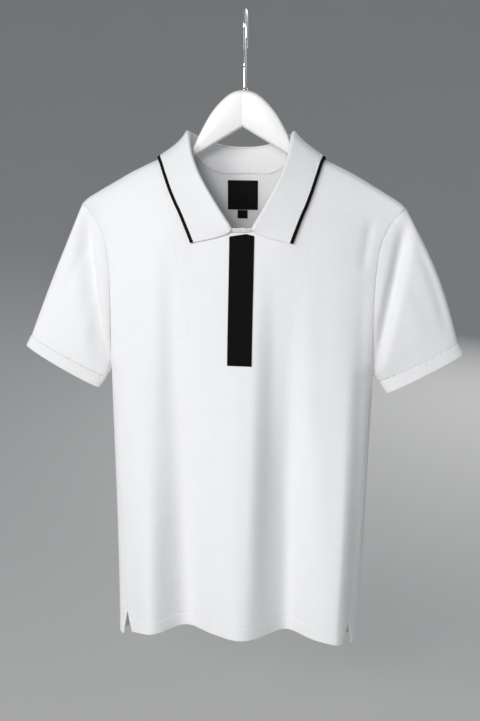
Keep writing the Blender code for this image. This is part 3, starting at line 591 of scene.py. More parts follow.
def sleeve_point(side, across, along):
    end = SLEEVE_END[side]
    point = armhole_point(side, across).lerp(ring_point(side, end, across), along)
    turn = 2 * pi * across
    half = -1 if across <= 0.5 else 1
    swell = sin(pi * along)
    point.y -= SLEEVE_SWELL[half] * swell * sin(turn)
    lift = end.bow * swell * max(-cos(turn), 0)
    point += Vector((side * BOW_WAY[0], 0, BOW_WAY[1])) * lift
    trough = TROUGHS[side]
    low, high = TROUGH_DOWN
    part = (-point.z - low) / (high - low)
    middle = blend(trough.top_x, trough.foot_x, part)
    past, fade = TROUGH_ENDS
    depth = trough.depth * ease((part + past) / fade) * ease((1 + past - part) / fade)
    off = abs(point.x) - middle
    near = bell(off, trough.outer_width if off > 0 else trough.inner_width)
    point.y -= half * depth * near * abs(sin(turn)) * ease(along / TROUGH_STARTS)
    for crease in SLEEVE_CREASES[side]:
        part = (along - crease.head) / (crease.foot - crease.head)
        if 0 < part < 1:
            middle = blend(crease.head_turn, crease.foot_turn, part)
            point.y -= half * crease.depth * bell(across - middle, crease.width) * taper(part)
    return point


# ---- the collar's surface ----
def neck_point(side, station):
    """The neckline at a station."""
    half = -1 if station <= SIDE_STATION else 1
    away = station if half < 0 else LAST_STATION - station
    return panel_point(half, OUTER_CELLS + MIDDLE_CELL + side * away, 0)


def roll_point(side, station):
    """The crown of the collar, where the stand turns over into the leaf."""
    x = side * read(ROLL, "x", station) + read(ROLL, "middle", station)
    return Vector((x, read(ROLL, "y", station), -read(ROLL, "down", station)))


def share_of(x):
    """The share whose column starts at x on the shoulder line."""
    share = x / PANEL_WIDTH
    for _ in range(6):
        share = x / (PANEL_WIDTH + (SHOULDER_X - PANEL_WIDTH) * share * share)
    return share


def edge_point(side, station):
    """The leaf's outer edge, lifted off the panel that it lies on."""
    x = side * read(LEAF_EDGE, "x", station) + read(ROLL, "middle", station) * EDGE_LEAN
    share = share_of(x)
    reach = read(LEAF_EDGE, "reach", station) + POINT_REACH[side] * max(1 - station / 3, 0)
    step = 0.02
    run = reach_point(share + step, reach) - reach_point(share - step, reach)
    fall = reach_point(share, reach + step * 5) - reach_point(share, reach - step * 5)
    return reach_point(share, reach) + run.cross(fall).normalized() * LEAF_LIFT


def roll_frame(side, station):
    """The stand's rise into the roll, and the direction in which the roll turns over."""
    crown = roll_point(side, station)
    rise = (crown - neck_point(side, station)).normalized()
    before = roll_point(side, max(station - 0.25, LEAF_STARTS))
    after = roll_point(side, min(station + 0.25, LAST_STATION))
    tangent = (after - before).normalized()
    over = tangent.cross(rise).normalized() * side
    return crown, rise, over


def stand_point(side, station, height):
    foot = neck_point(side, station)
    if station < LEAF_STARTS - 0.001:
        return foot.lerp(roll_point(side, station), height)
    crown, rise, _ = roll_frame(side, station)
    return foot.lerp(crown - rise * (ROLL_RADIUS + CLOTH), height)


def clear_of_front(point):
    """The point, moved forward where it would come too near the front panel."""
    down = -point.z
    panel = cloth_at(-1, point.x / PANEL_WIDTH, down)
    need = LEAF_LIFT - panel.y
    ahead = -point.y
    softened = (ahead + need + sqrt((ahead - need) ** 2 + 1)) / 2
    return Vector((point.x, -softened, point.z))


def leaf_point(side, station, part):
    """The leaf's inner face: part 0 to 0.25 goes over the roll, and the rest down the leaf."""
    crown, rise, over = roll_frame(side, station)
    base = crown - rise * (ROLL_RADIUS + CLOTH)
    if part <= ROLL_PART:
        turn = pi * part / ROLL_PART
        centre = base + over * ROLL_RADIUS
        return centre - over * ROLL_RADIUS * cos(turn) + rise * ROLL_RADIUS * sin(turn)
    start = base + over * 2 * ROLL_RADIUS
    end = edge_point(side, station)
    share = (part - ROLL_PART) / (1 - ROLL_PART)
    pull = (end - start).length * blend(*LEAF_ARCH, min(station / 4, 1))
    bend = 3 * share * (1 - share) ** 2
    point = start.lerp(end, blend(share, ease(share), LEAF_SET)) - rise * pull * bend
    if station >= SIDE_STATION:
        return point
    return point.lerp(clear_of_front(point), ease((SIDE_STATION - station) * 2) * ease(share * 4))


def white_share(side, station):
    """The part of the leaf at which the binding starts."""
    end = edge_point(side, station)
    length = (end - roll_point(side, station)).length
    return 1 - (1 - ROLL_PART) * BINDING_WIDTH / length


# ---- materials ----
def operator(operation, reflected=False):
    """An arithmetic method for Value, or its reflected form, where the other side comes first."""
    def apply(self, other):
        first, second = (other, self) if reflected else (self, other)
        return self.sum(operation, first, second)
    return apply


class Value:
    """One output of a material's nodes. Sums on it add nodes to the same material."""

    def __init__(self, tree, socket):
        self.tree, self.socket = tree, socket

    def node(self, kind, settings, inputs, output=0):
        made = self.tree.nodes.new("ShaderNode" + kind)
        for name, setting in settings.items():
            setattr(made, name, setting)
        for name, value in inputs.items():
            if isinstance(value, Value):
                self.tree.links.new(value.socket, made.inputs[name])
            else:
                made.inputs[name].default_value = value
        return Value(self.tree, made.outputs[output])

    def sum(self, operation, first, second=0.0):
        return self.node("Math", {"operation": operation}, {0: first, 1: second})

    def sine(self):
        return self.sum("SINE", self)

    __add__ = __radd__ = operator("ADD")
    __mul__ = __rmul__ = operator("MULTIPLY")
    __sub__, __rsub__ = operator("SUBTRACT"), operator("SUBTRACT", reflected=True)
    __truediv__, __rtruediv__ = operator("DIVIDE"), operator("DIVIDE", reflected=True)


class Paint:
    """A material being made, from its plain finish up."""

    def __init__(self, name, colour, roughness, **constants):
        self.material = bpy.data.materials.new(name)
        self.material.use_nodes = True
        self.tree = self.material.node_tree
        self.shader = self.tree.nodes["Principled BSDF"]
        self.colour = (*colour, 1)
        self.set("Base Color", self.colour)
        self.set("Roughness", roughness)
        for key, value in constants.items():
            self.set(key.replace("_", " "), value)
        self.start = Value(self.tree, None)

    def set(self, name, value):
        if isinstance(value, Value):
            self.tree.links.new(value.socket, self.shader.inputs[name])
        else:
            self.shader.inputs[name].default_value = value

    def node(self, kind, settings=None, inputs=None, output=0):
        return self.start.node(kind, settings or {}, inputs or {}, output)

    def flat_way(self):
        """Millimetres across and along the cloth, from its own map."""
        cloth = self.node("UVMap", {"uv_map": "cloth"})
        split = self.node("SeparateXYZ", inputs={"Vector": cloth})
        return cloth, split, Value(self.tree, split.socket.node.outputs[1])

    def noise(self, where, scale, detail=2.0):
        return self.node("TexNoise", inputs={"Vector": where, "Scale": scale, "Detail": detail})

    def tone_and_painted_shade(self, share, dark):
        """The colour, darkened where share is high."""
        mixed = self.node(
            "Mix", {"data_type": "RGBA"},
            {"Factor": share, 6: self.colour, 7: (*(part * dark for part in self.colour[:3]), 1)},
            output=2,
        )
        self.set("Base Color", mixed)

    def bump(self, height, strength, distance):
        self.set("Normal", self.node(
            "Bump", inputs={"Height": height, "Strength": strength, "Distance": distance},
        ))
        return self.material


def knit(name, colour, weave):
    """Cotton knit. weave(across, along) is the height of its stitches, from -1 to 1."""
    paint = Paint(
        name, colour, 0.92, Sheen_Weight=0.18, Sheen_Roughness=0.45, Specular_IOR_Level=0.25,
    )
    cloth, across, along = paint.flat_way()
    place = paint.node("TexCoord", output=3)
    seam = paint.node("Attribute", {"attribute_name": "seam"}, output=2)
    near = 1 / (1 + seam * seam / 9)
    yarn = paint.noise(cloth, 0.55, 3.0)
    pucker = paint.noise(place, 190.0, 1.0) - 0.5
    drape = paint.noise(place, 26.0, 2.0) - 0.5
    height = weave(across, along) * 0.1 + yarn * 0.25 + pucker * near * 2.6 + drape * 1.1
    # Random tone across the cloth, plus painted shade: the colour is painted a little darker close
    # to seams, where the seam's hollow would be in shade.
    paint.tone_and_painted_shade(paint.noise(cloth, 0.04, 2.0) * 0.5 + near * 0.12, 0.94)
    return paint.bump(height, 0.8, 0.001)


def pique(across, along):
    return ((across + along) * (pi / 1.1)).sine() * ((across - along) * (pi / 1.1)).sine()


def ribs(across, along):
    return (across * (2 * pi / 1.3)).sine() + (along * (2 * pi / 0.9)).sine() * 0.3


def twill(name, colour, pitch, roughness, depth):
    paint = Paint(name, colour, roughness, Sheen_Weight=0.0, Specular_IOR_Level=0.12)
    cloth, across, along = paint.flat_way()
    lines = ((across + along * 1.2) * (2 * pi / pitch)).sine()
    paint.tone_and_painted_shade(paint.noise(cloth, 0.2, 2.0), 1.8)
    return paint.bump(lines * depth + paint.noise(cloth, 0.6, 2.0) * 0.5, 0.7, 0.0006)


def painted_wood():
    paint = Paint("white_paint", (0.83, 0.83, 0.82), 0.36, Coat_Weight=0.25, Coat_Roughness=0.2)
    place = paint.node("TexCoord", output=3)
    grain = paint.node("Mapping", inputs={"Vector": place, "Scale": (0.25, 1, 1)})
    paint.set("Roughness", paint.noise(place, 40.0) * 0.12 + 0.3)
    return paint.bump(paint.noise(grain, 120.0, 3.0), 0.25, 0.0006)


def chrome():
    paint = Paint("bright_chrome", (0.74, 0.74, 0.75), 0.16, Metallic=1.0)
    place = paint.node("TexCoord", output=3)
    paint.set("Roughness", paint.noise(place, 90.0) * 0.04 + 0.14)
    return paint.material


def plain(name, colour, roughness):
    paint = Paint(name, colour, roughness, Specular_IOR_Level=0.2)
    place = paint.node("TexCoord", output=3)
    paint.tone_and_painted_shade(paint.noise(place, 1.2), 0.97)
    return paint.material


def make_finishes():
    white = (0.86, 0.86, 0.865)
    return {
        "pique": knit("white_pique", white, pique),
        "flat_knit": knit("white_flat_knit", (0.85, 0.85, 0.855), ribs),
        "twill": twill("black_twill", (0.0035, 0.0035, 0.004), 1.1, 0.85, 0.8),
        "satin": twill("black_satin", (0.0055, 0.0055, 0.006), 0.5, 0.6, 0.25),
        "wood": painted_wood(),
        "chrome": chrome(),
        "white_thread": plain("white_thread", (0.8, 0.8, 0.8), 0.8),
        "black_thread": plain("black_thread", (0.004, 0.004, 0.005), 0.8),
    }


# ---- building ----
def add_object(name, data):
    piece = bpy.data.objects.new(name, data)
    bpy.context.scene.collection.objects.link(piece)
    return piece


def lines(last, parts, extra=()):
    """Grid lines from 0 to last: so many to a cell, and closer together by both ends."""
    even = [index / parts for index in range(parts, (last - 1) * parts + 1)]
    both = [*EDGE_LINES, *even, *(last - step for step in EDGE_LINES)]
    kept = [at for at in both if all(abs(at - other) > LINES_CLOSE for other in extra)]
    return sorted(kept + list(extra))


def finish_piece(shape, name, finish, sharp_angle=50):
    """Turns a bmesh in millimetres into a piece in metres that rides on the shirt."""
    bmesh.ops.recalc_face_normals(shape, faces=shape.faces)
    bmesh.ops.scale(shape, vec=(MM, MM, MM), verts=shape.verts)
    mesh = bpy.data.meshes.new(name)
    shape.to_mesh(mesh)
    shape.free()
    mesh.materials.append(FINISH[finish])
    mesh.shade_smooth()
    mesh.set_sharp_from_angle(angle=radians(sharp_angle))
    piece = add_object(name, mesh)
    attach(piece, "root")
    return piece


def lengths(points, axis):
    """How far each point of a grid lies along its line, from the line's first point."""
    steps = np.linalg.norm(np.diff(points, axis=axis), axis=2)
    start = np.zeros_like(np.take(points[:, :, 0], [0], axis=axis))
    return np.concatenate([start, np.cumsum(steps, axis=axis)], axis=axis)


def grid_bell(distance, reach):
    """The bell of a whole grid: 1 where the distance is nothing."""
    return np.exp(-(distance / reach) ** 2)


def outwards(points, closed):
    """Unit normals of a grid's outer face."""
    if closed:
        ring = np.concatenate([points[-2:-1], points, points[1:2]])
        run = ring[2:] - ring[:-2]
    else:
        run = np.gradient(points, axis=0)
    fall = np.gradient(points, axis=1)
    normal = np.cross(fall, run)
    return normal / np.maximum(np.linalg.norm(normal, axis=2, keepdims=True), 1e-9)


def grid_shape(columns, rows):
    """A flat grid, and each vertex's place in it."""
    shape = bmesh.new()
    shape.verts.layers.float_vector.new("inward")
    shape.verts.layers.float.new("seam")
    shape.loops.layers.uv.new("cloth")
    across, along = len(columns) - 1, len(rows) - 1
    bmesh.ops.create_grid(shape, x_segments=across, y_segments=along, size=1.0)
    spots = {}
    for vert in shape.verts:
        column = round((1 + vert.co.x) / 2 * across)
        row = round((1 - vert.co.y) / 2 * along)
        spots[vert] = (column, row)
    return shape, spots


# Each edge of a grid: its axis, its own line and the next line in.
EDGES = {"left": (0, 0, 1), "right": (0, -1, -2), "top": (1, 0, 1), "foot": (1, -1, -2)}


def make_sheet(
    name, columns, rows, place, thickness, finish, sewn, closed=False, lift=0.0, relief=None,
):
    """A wall of cloth whose outer face is place(column, row).

    sewn names the edges that are seams: left, right, top or foot, each with a test of the row
    or None. relief(reach) gives how far the face is raised, from its lengths off the edges.
    """
    shape, spots = grid_shape(columns, rows)
    points = np.array([[place(column, row)[:] for row in rows] for column in columns])
    across, along = lengths(points, 0), lengths(points, 1)
    reach = {
        "left": across, "right": across[-1:] - across,
        "top": along, "foot": along[:, -1:] - along,
    }
    seam, free = np.full(across.shape, FAR), np.full(across.shape, FAR)
    for edge, distance in reach.items():
        if closed and edge in ("left", "right"):
            continue
        test = sewn.get(edge, False)
        if test is False:
            free = np.minimum(free, distance)
            continue
        held = np.array([test is None or test(row) for row in rows])[None, :]
        seam = np.minimum(seam, np.where(held, distance, FAR))
        free = np.minimum(free, np.where(held, FAR, distance))
    out = outwards(points, closed)
    raised = lift - SEAM_ROLL * grid_bell(seam, ROLL_REACH)
    raised -= RIM_ROUND * grid_bell(free, RIM_REACH)
    if relief:
        raised = raised + relief(reach)
    for edge, (axis, rim, next_in) in EDGES.items():
        if not (closed and axis == 0):
            run = np.take(points, next_in, axis=axis) - np.take(points, rim, axis=axis)
            run /= np.linalg.norm(run, axis=1, keepdims=True)
            line = [slice(None), slice(None)]
            line[axis] = rim
            points[tuple(line)] += run * SEAM_DRAW
    outer = points + out * raised[:, :, None]
    wall = thickness - RIM_ROUND * grid_bell(np.minimum(free, seam), RIM_REACH)
    inward = -out * wall[:, :, None]
    middle = across[len(columns) // 2]
    inward_layer = shape.verts.layers.float_vector["inward"]
    seam_layer = shape.verts.layers.float["seam"]
    for vert, spot in spots.items():
        vert.co = outer[spot]
        vert[inward_layer] = inward[spot]
        vert[seam_layer] = min(seam[spot], SEAM_SEEN)
    cloth_map = shape.loops.layers.uv["cloth"]
    for face in shape.faces:
        for loop in face.loops:
            column, row = spots[loop.vert]
            loop[cloth_map].uv = (across[column, row] - middle[row], -reach["foot"][column, row])
    if closed:
        rims = [vert for vert, spot in spots.items() if spot[0] in (0, len(columns) - 1)]
        bmesh.ops.remove_doubles(shape, verts=rims, dist=0.02)
    grown = bmesh.ops.extrude_face_region(shape, geom=shape.faces[:], use_keep_orig=True)
    for item in grown["geom"]:
        if isinstance(item, bmesh.types.BMVert):
            item.co += item[inward_layer]
    return finish_piece(shape, name, finish)


def make_solid(name, columns, rows, place, finish, sharp_angle=40):
    """A closed form of rings: columns run round it, and its end rows close to a point."""
    shape, spots = grid_shape(columns, rows)
    for vert, (column, row) in spots.items():
        vert.co = place(columns[column], rows[row])
    bmesh.ops.remove_doubles(shape, verts=shape.verts, dist=0.01)
    return finish_piece(shape, name, finish, sharp_angle)


def normal_at(place, column, row, step):
    run = place(column + step, row) - place(column - step, row)
    fall = place(column, row + step) - place(column, row - step)
    return fall.cross(run).normalized()


def spaced(path, pitch):
    """Points at an even pitch along a path of (point, normal) pairs, each with its run."""
    gone = 0.0
    wanted = pitch / 2
    for (start, out), (end, _) in zip(path, path[1:]):
        step = (end - start).length
        while wanted <= gone + step and step > 0:
            yield start.lerp(end, (wanted - gone) / step), out, (end - start) / step
            wanted += pitch
        gone += step


def stitch(name, paths, size, finish):
    """Rows of stitches, as small rounded bars, joined into one piece."""
    shape = bmesh.new()
    for path in paths:
        for point, out, run in spaced(path, size.pitch):
            side = out.cross(run).normalized()
            rise = run.cross(side)
            turned = Matrix((run * size.length, side * size.width, rise * size.height)).transposed()
            seat = point + rise * size.height * STITCH_PROUD
            spot = Matrix.Translation(seat) @ turned.to_4x4()
            bmesh.ops.create_uvsphere(shape, u_segments=6, v_segments=4, radius=0.5, matrix=spot)
    return finish_piece(shape, name, finish, sharp_angle=80)


def path_on(place, spots, lift=0.0, step=GRID_STEP):
    """A path over a piece's outer face, through places given as column and row."""
    path = []
    for column, row in spots:
        out = normal_at(place, column, row, step)
        path.append((place(column, row) + out * lift, out))
    return path


def steps(low, high, count):
    return [blend(low, high, index / count) for index in range(count + 1)]


# ---- the shirt's pieces ----
def panel_face(half):
    """The panel by column and row. The back's columns run the other way, to face out."""
    def face(column, row):
        column = column if half < 0 else COLUMNS - column
        column = min(max(column, 0), COLUMNS)
        return panel_point(half, column, min(max(row, 0), ROWS))
    return face


def inset(face, column, row, inwards, distance):
    """The column that lies a distance inwards of an edge."""
    step = 0.4 * inwards
    run = (face(column + step, row) - face(column, row)).length
    return column + step * distance / run


def hem_row(half, above):
    return vent_row(half, hem_down(half) - above)


def make_panel(half, name):
    face = panel_face(half)
    hem_lines = [hem_row(half, HEM_TURN + step) for step in (-1.6, -0.7, 0.0, 0.7, 1.6)]
    rows = lines(ROWS, ROW_LINES, hem_lines)
    columns = lines(COLUMNS, COLUMN_LINES)

    def relief(reach):
        band = 1 / (1 + np.exp(np.minimum((reach["foot"] - HEM_TURN) / 0.5, 50)))
        return TURNING * band - HEM_GROOVE * grid_bell(reach["foot"] - HEM_TURN, ROLL_REACH)

    def above_vent(row):
        return row <= VENT_ROW + 0.01

    sewn = {"left": above_vent, "right": above_vent, "top": None}
    return make_sheet(
        name + "_cloth", columns, rows, face, CLOTH, "pique", sewn, relief=relief,
    )


def panel_stitches(half, name):
    face = panel_face(half)
    hem = hem_row(half, HEM_TURN)
    paths = [path_on(face, [(at, hem) for at in steps(0.1, COLUMNS - 0.1, 160)], TURNING / 2)]
    for column, inwards in ((0, 1), (COLUMNS, -1)):
        arm_rows = steps(0.5, ARM_ROWS - 0.2, 70)
        spots = [(inset(face, column, row, inwards, STITCH_IN), row) for row in arm_rows]
        paths.append(path_on(face, spots))
        vent_rows = steps(VENT_ROW - 0.15, ROWS - 0.1, 16)
        spots = [(inset(face, column, row, inwards, STITCH_IN), row) for row in vent_rows]
        paths.append(path_on(face, spots, 0.05))
        top = vent_rows[0]
        bar = [(column + (spots[0][0] - column) * share, top) for share in (0.12, 0.5, 1.0)]
        paths.append(path_on(face, bar))
    return stitch(name + "_sewing", paths, TOPSTITCH, "white_thread")


def make_sleeve(side, name):
    def face(around, along):
        turn = around if side > 0 else 2 * ARM_ROWS - around
        return sleeve_point(side, turn / (2 * ARM_ROWS), along / SLEEVE_CELLS)

    return make_sheet(
        "sleeve_" + name + "_cloth", steps(0, 2 * ARM_ROWS, 8 * ARM_ROWS),
        lines(SLEEVE_CELLS, ROW_LINES), face, CLOTH, "pique", {"top": None, "foot": None},
        closed=True,
    )


def make_cuff(side, name):
    def face(around, along):
        share = around if side > 0 else 1 - around
        start = ring_point(side, SLEEVE_END[side], share, CUFF_PROUD)
        return start.lerp(ring_point(side, CUFF_END[side], share, CUFF_PROUD), along)

    rows = (0, 0.03, 0.07, 0.14, 0.26, 0.4, 0.55, 0.7, 0.82, 0.9, 0.95, 0.98, 1)
    return make_sheet(
        "cuff_" + name + "_cloth", steps(0, 1, 104), rows, face, CUFF_CLOTH, "flat_knit",
        {"top": None}, closed=True,
    )


def leaf_stations(first):
    """Side and station from the right front end round behind to the left."""
    near = [first, first + 0.02, first + 0.05, first + 0.11]
    half = near + [at for at in steps(0, LAST_STATION, 84) if at > first + 0.15]
    right = [(1, at) for at in half]
    return right + [(-1, at) for at in reversed(half[:-1])]


def make_collar():
    def stand(spot, row):
        return stand_point(*spot, 1 - row)

    def leaf(spot, row):
        side, station = spot
        white = white_share(side, station)
        return leaf_point(side, station, (1 - row) * white)

    def binding(spot, row):
        side, station = spot
        return leaf_point(side, station, blend(1.0, white_share(side, station), row))

    leaf_columns = leaf_stations(LEAF_STARTS)
    leaf_parts = steps(0, 0.32, 12) + steps(0.35, 0.97, 22) + [0.985, 0.993, 1.0]
    return [
        make_sheet(
            "collar_stand_cloth", leaf_stations(0.0), steps(0, 1, 14), stand, CLOTH, "flat_knit",
            {"foot": None, "top": None},
        ),
        make_sheet(
            "collar_leaf_cloth", leaf_columns, sorted(1 - at for at in leaf_parts), leaf, CLOTH,
            "flat_knit", {"top": None},
        ),
        make_sheet(
            "collar_binding_cloth", leaf_columns, (0, 0.06, 0.15, 0.3, 0.5, 0.7, 0.85, 0.94, 1),
            binding, BINDING_CLOTH, "twill", {"foot": None}, lift=BINDING_PROUD,
        ),
    ]


# ---- placket and labels ----
def rimmed(rim, inner):
    """Grid lines of a small piece in shares: the inner ones, and a rim's at both ends."""
    return sorted({*rim, *(1 - at for at in rim), *inner})


def placket_face(across, along):
    eased = ease(along)
    left, right = (blend(top, foot, eased) for top, foot in PLACKET_EDGES)
    low, peak, high = PLACKET_TOP_DOWN
    if across < PLACKET_PEAK:
        top = blend(low, peak, across / PLACKET_PEAK)
    else:
        top = blend(peak, high, (across - PLACKET_PEAK) / (1 - PLACKET_PEAK))
    down = blend(top, PLACKET_FOOT_DOWN, along)
    return cloth_at(-1, blend(left, right, across) / PANEL_WIDTH, down)


def make_placket():
    columns = rimmed((0, 0.012, 0.03, 0.06), steps(0.1, 0.9, 12))
    rows = rimmed((0, 0.003, 0.007, 0.014), steps(0.03, 0.97, 44))

    def relief(reach):
        edge = np.minimum(np.minimum(reach["left"], reach["right"]), reach["foot"])
        return -STITCH_GROOVE * grid_bell(edge - PLACKET_STITCH_IN, GROOVE_REACH)

    lift = SEAM_GAP + PLACKET_CLOTH
    piece = make_sheet(
        "placket_cloth", columns, rows, placket_face, PLACKET_CLOTH, "twill",
        {"top": None}, lift=lift, relief=relief,
    )
    edge = PLACKET_STITCH_IN / PLACKET_SIZE[0]
    foot = 1 - PLACKET_STITCH_IN / PLACKET_SIZE[1]
    box = 1 - PLACKET_BOX / PLACKET_SIZE[1]
    down_rows = steps(0.012, foot, 60)
    paths = [[(edge, row) for row in down_rows], [(1 - edge, row) for row in down_rows]]
    paths += [[(at, row) for at in steps(edge, 1 - edge, 10)] for row in (foot, box)]
    paths = [path_on(placket_face, path, lift - 0.2, SHARE_STEP) for path in paths]
    return piece, stitch("placket_sewing", paths, FINE_STITCH, "black_thread")


def label_face(sides, ends):
    """A small piece on the back, between two sides and from its top to its foot."""
    def face(across, along):
        return cloth_at(1, blend(*sides, across) / PANEL_WIDTH, blend(*ends, along))
    return face


def make_labels():
    label, tab = label_face(LABEL_X, LABEL_DOWN), label_face(TAB_X, TAB_DOWN)
    shares = rimmed((0, 0.02, 0.05, 0.1), steps(0.2, 0.8, 8))
    lift = CLOTH + SEAM_GAP + LABEL_CLOTH
    pieces = [
        make_sheet(name, shares, shares, face, LABEL_CLOTH, "satin", {}, lift=height)
        for name, face, height in (
            ("neck_label_cloth", label, lift), ("size_tab_cloth", tab, lift + SEAM_GAP),
        )
    ]
    width, height = LABEL_X[1] - LABEL_X[0], LABEL_DOWN[1] - LABEL_DOWN[0]
    side, rise = LABEL_STITCH_IN / width, LABEL_STITCH_IN / height
    corners = [(side, rise), (1 - side, rise), (1 - side, 1 - rise), (side, 1 - rise), (side, rise)]
    paths = []
    for (left, top), (right, low) in zip(corners, corners[1:]):
        spots = [(blend(left, right, at), blend(top, low, at)) for at in steps(0.03, 0.97, 12)]
        paths.append(path_on(label, spots, lift - 0.05, SHARE_STEP))
    pieces.append(stitch("label_sewing", paths, FINE_STITCH, "black_thread"))
    return pieces


# ---- hanger and hook ----
def hanger_edges(x):
    """The hanger's upper and lower edge at a distance from its middle."""
    second, arm_end = HANGER_TOP[1], min(x, ARM_TURNS_X)
    if x <= HANGER_TOP[-1].x:
        top = read([second._replace(x=-second.x)] + HANGER_TOP, "down", x)
    else:
        top = read(CREST, "down", arm_end) + HANGER_DROP
        top = blend(top, TIP_DOWN[0], (x - arm_end) / (TIP_X - ARM_TURNS_X))
    under = read(sorted(HANGER_UNDER), "down", x)
    past = max(x - HANGER_UNDER[0].x, 0)
    return top, blend(under, TIP_DOWN[1], past / UNDER_TURN)


def make_hanger():
    section = [
        (pi / 2 * (quarter + part / 6), quarter) for quarter in range(4) for part in range(7)
    ]
    section.append(section[0])

    def face(corner, station):
        x, share = station
        turn, quarter = corner
        top, under = hanger_edges(abs(x))
        height = max((under - top) / 2, 1.0)
        round_y = min(HANGER_BEVEL, height)
        y = (HANGER_HALF - round_y) * (1 if quarter in (0, 3) else -1) + round_y * cos(turn)
        z = (height - round_y) * (1 if quarter in (0, 1) else -1) + round_y * sin(turn)
        y, z = y * share, z * share
        side = blend(HANGER_X, ARM_X, min(abs(x) / ARM_LEAVES, 1))
        return Vector((x + side, y - CREST_SWEEP * abs(x), z - (top + under) / 2))

    half = [(at, 1.0) for at in steps(0, 206, 150)[1:]] + TIP_SECTIONS
    stations = [(-x, share) for x, share in reversed(half)] + [(0, 1.0)] + half
    return make_solid("hanger_wood", section, stations, face, "wood", sharp_angle=60)


def hook_route():
    """The wire's middle line in the plane across the hanger: (y, down) from foot to tip."""
    radius = HOOK_LOOP + WIRE / 2
    turns = [radians(turn) for turn in steps(*LOOP_TURNS, LOOP_STEPS)]
    loop = [(radius * cos(turn), HOOK_LOOP - radius * sin(turn)) for turn in turns]
    return SHANK + loop + HOOK_TIP


def make_hook():
    route = table("at y down", *((index, *spot) for index, spot in enumerate(hook_route())))
    last = route[-1].at

    def centre(at):
        return Vector((0, read(route, "y", at), -read(route, "down", at)))

    def face(turn, station):
        at, share = station
        run = (centre(min(at + 0.05, last)) - centre(max(at - 0.05, 0))).normalized()
        side = run.cross(Vector((1, 0, 0)))
        point = centre(at)
        radius = WIRE / 2 * share
        if JOINT_DOWN[0] < -point.z < JOINT_DOWN[1] and at < 4:
            radius += JOINT_PROUD
        ahead = sqrt(max(1 - share * share, 0)) * WIRE / 2 if at > last - 0.01 else 0
        return point + run * ahead + (Vector((cos(turn), 0, 0)) + side * sin(turn)) * radius

    stations = [(0.0, 0.0)] + [(at, 1.0) for at in steps(0, last, 220)]
    stations += [(last, share) for share in (0.92, 0.75, 0.5, 0.25, 0.0)]
    rounds = steps(0, 2 * pi, 20)
    return make_solid("hook_wire", rounds, stations, face, "chrome", sharp_angle=45)


def make_ferrule():
    top, foot = FERRULE_DOWN
    small, large = FERRULE_RADIUS - 1, FERRULE_RADIUS
    profile = [(top, 0), (top, small - 0.4), (top + 0.1, small - 0.1), (top + 0.4, small),
               (foot - 0.8, large - 0.1), (foot - 0.4, large), (foot, large), (foot, 0)]

    def face(turn, spot):
        down, radius = spot
        return Vector((radius * cos(turn), radius * sin(turn), -down))

    return make_solid("ferrule_cap", steps(0, 2 * pi, 36), profile, face, "chrome")


# ---- the room ----
def make_room():
    """A wide round floor that turns up into a far wall, lit by large soft lights."""
    shape, spots = grid_shape(range(ROOM_SIDES + 1), range(ROOM_RINGS + 1))
    for vert, (column, row) in spots.items():
        share, turn = row / ROOM_RINGS, 2 * pi * column / ROOM_SIDES
        climb = max(share - WALL_STARTS, 0) / (1 - WALL_STARTS)
        radius = ROOM_RADIUS * share
        vert.co = (radius * cos(turn), radius * sin(turn), FLOOR + WALL_HEIGHT * climb * climb)
    bmesh.ops.remove_doubles(shape, verts=shape.verts, dist=MM)
    bmesh.ops.recalc_face_normals(shape, faces=shape.faces)
    bmesh.ops.reverse_faces(shape, faces=shape.faces)
    mesh = bpy.data.meshes.new("floor")
    shape.to_mesh(mesh)
    shape.free()
    mesh.shade_smooth()
    mesh.materials.append(plain("floor_grey", (0.56, 0.555, 0.55), 0.9))
    add_object("floor", mesh)
    world = bpy.data.worlds.new("studio")
    world.use_nodes = True
    sky = world.node_tree.nodes["Background"].inputs
    sky["Color"].default_value = (0.9, 0.95, 1.0, 1)
    sky["Strength"].default_value = AMBIENT
    bpy.context.scene.world = world
    for name, place, power, size in LAMPS:
        lamp = bpy.data.lights.new(name, "AREA")
        lamp.energy = power
        lamp.size = size
        piece = add_object(name, lamp)
        piece.location = place
        aim = Vector(LAMPS_AIM) - Vector(place)
        piece.rotation_euler = aim.to_track_quat("-Z", "Y").to_euler()


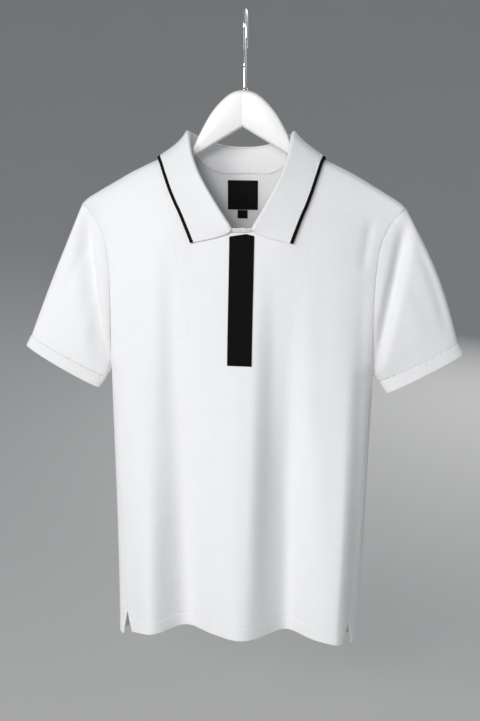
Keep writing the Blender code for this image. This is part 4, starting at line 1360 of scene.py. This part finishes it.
def make_camera():
    azimuth, elevation, roll = (radians(angle) for angle in CAMERA_ANGLES)
    ahead = Vector((
        -sin(azimuth) * cos(elevation), cos(azimuth) * cos(elevation), -sin(elevation),
    ))
    right = ahead.cross(Vector((0, 0, 1))).normalized()
    up = right.cross(ahead)
    turned_right = right * cos(roll) + up * sin(roll)
    turned_up = up * cos(roll) - right * sin(roll)
    axes = Matrix((turned_right, turned_up, -ahead)).transposed()
    lens = bpy.data.cameras.new("camera")
    lens.lens = CAMERA_LENS
    lens.sensor_width = CAMERA_SENSOR
    lens.clip_start = 0.05
    camera = add_object("camera", lens)
    camera.matrix_world = Matrix.Translation(CAMERA_PLACE) @ axes.to_4x4()
    bpy.context.scene.camera = camera


# ---- all of it ----
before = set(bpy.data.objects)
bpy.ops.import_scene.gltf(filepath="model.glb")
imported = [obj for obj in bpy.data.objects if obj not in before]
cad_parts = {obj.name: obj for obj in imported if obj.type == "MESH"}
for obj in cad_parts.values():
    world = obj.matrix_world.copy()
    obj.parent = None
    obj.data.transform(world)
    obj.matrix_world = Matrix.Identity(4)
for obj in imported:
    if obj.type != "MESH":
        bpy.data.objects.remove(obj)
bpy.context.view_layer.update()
FINISH = make_finishes()

front, back = make_panel(-1, "front"), make_panel(1, "back")
front_sewing, back_sewing = panel_stitches(-1, "front"), panel_stitches(1, "back")
sleeve_left, sleeve_right = make_sleeve(-1, "left"), make_sleeve(1, "right")
cuff_left, cuff_right = make_cuff(-1, "left"), make_cuff(1, "right")
stand, leaf, binding = make_collar()
placket, placket_sewing = make_placket()
label, tab, label_sewing = make_labels()
hanger, hook, ferrule = make_hanger(), make_hook(), make_ferrule()

for piece, node in (
    (front, "front"), (back, "back"), (sleeve_left, "sleeve_left"), (sleeve_right, "sleeve_right"),
    (cuff_left, "cuff_left"), (cuff_right, "cuff_right"), (stand, "collar_stand"),
    (leaf, "collar_leaf"), (binding, "collar_binding"), (placket, "placket"),
    (label, "neck_label"), (tab, "size_tab"), (hanger, "hanger"), (hook, "hook"),
    (ferrule, "hook_ferrule"),
):
    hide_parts(node)

make_room()
make_camera()
bpy.context.scene.view_settings.view_transform = "Standard"
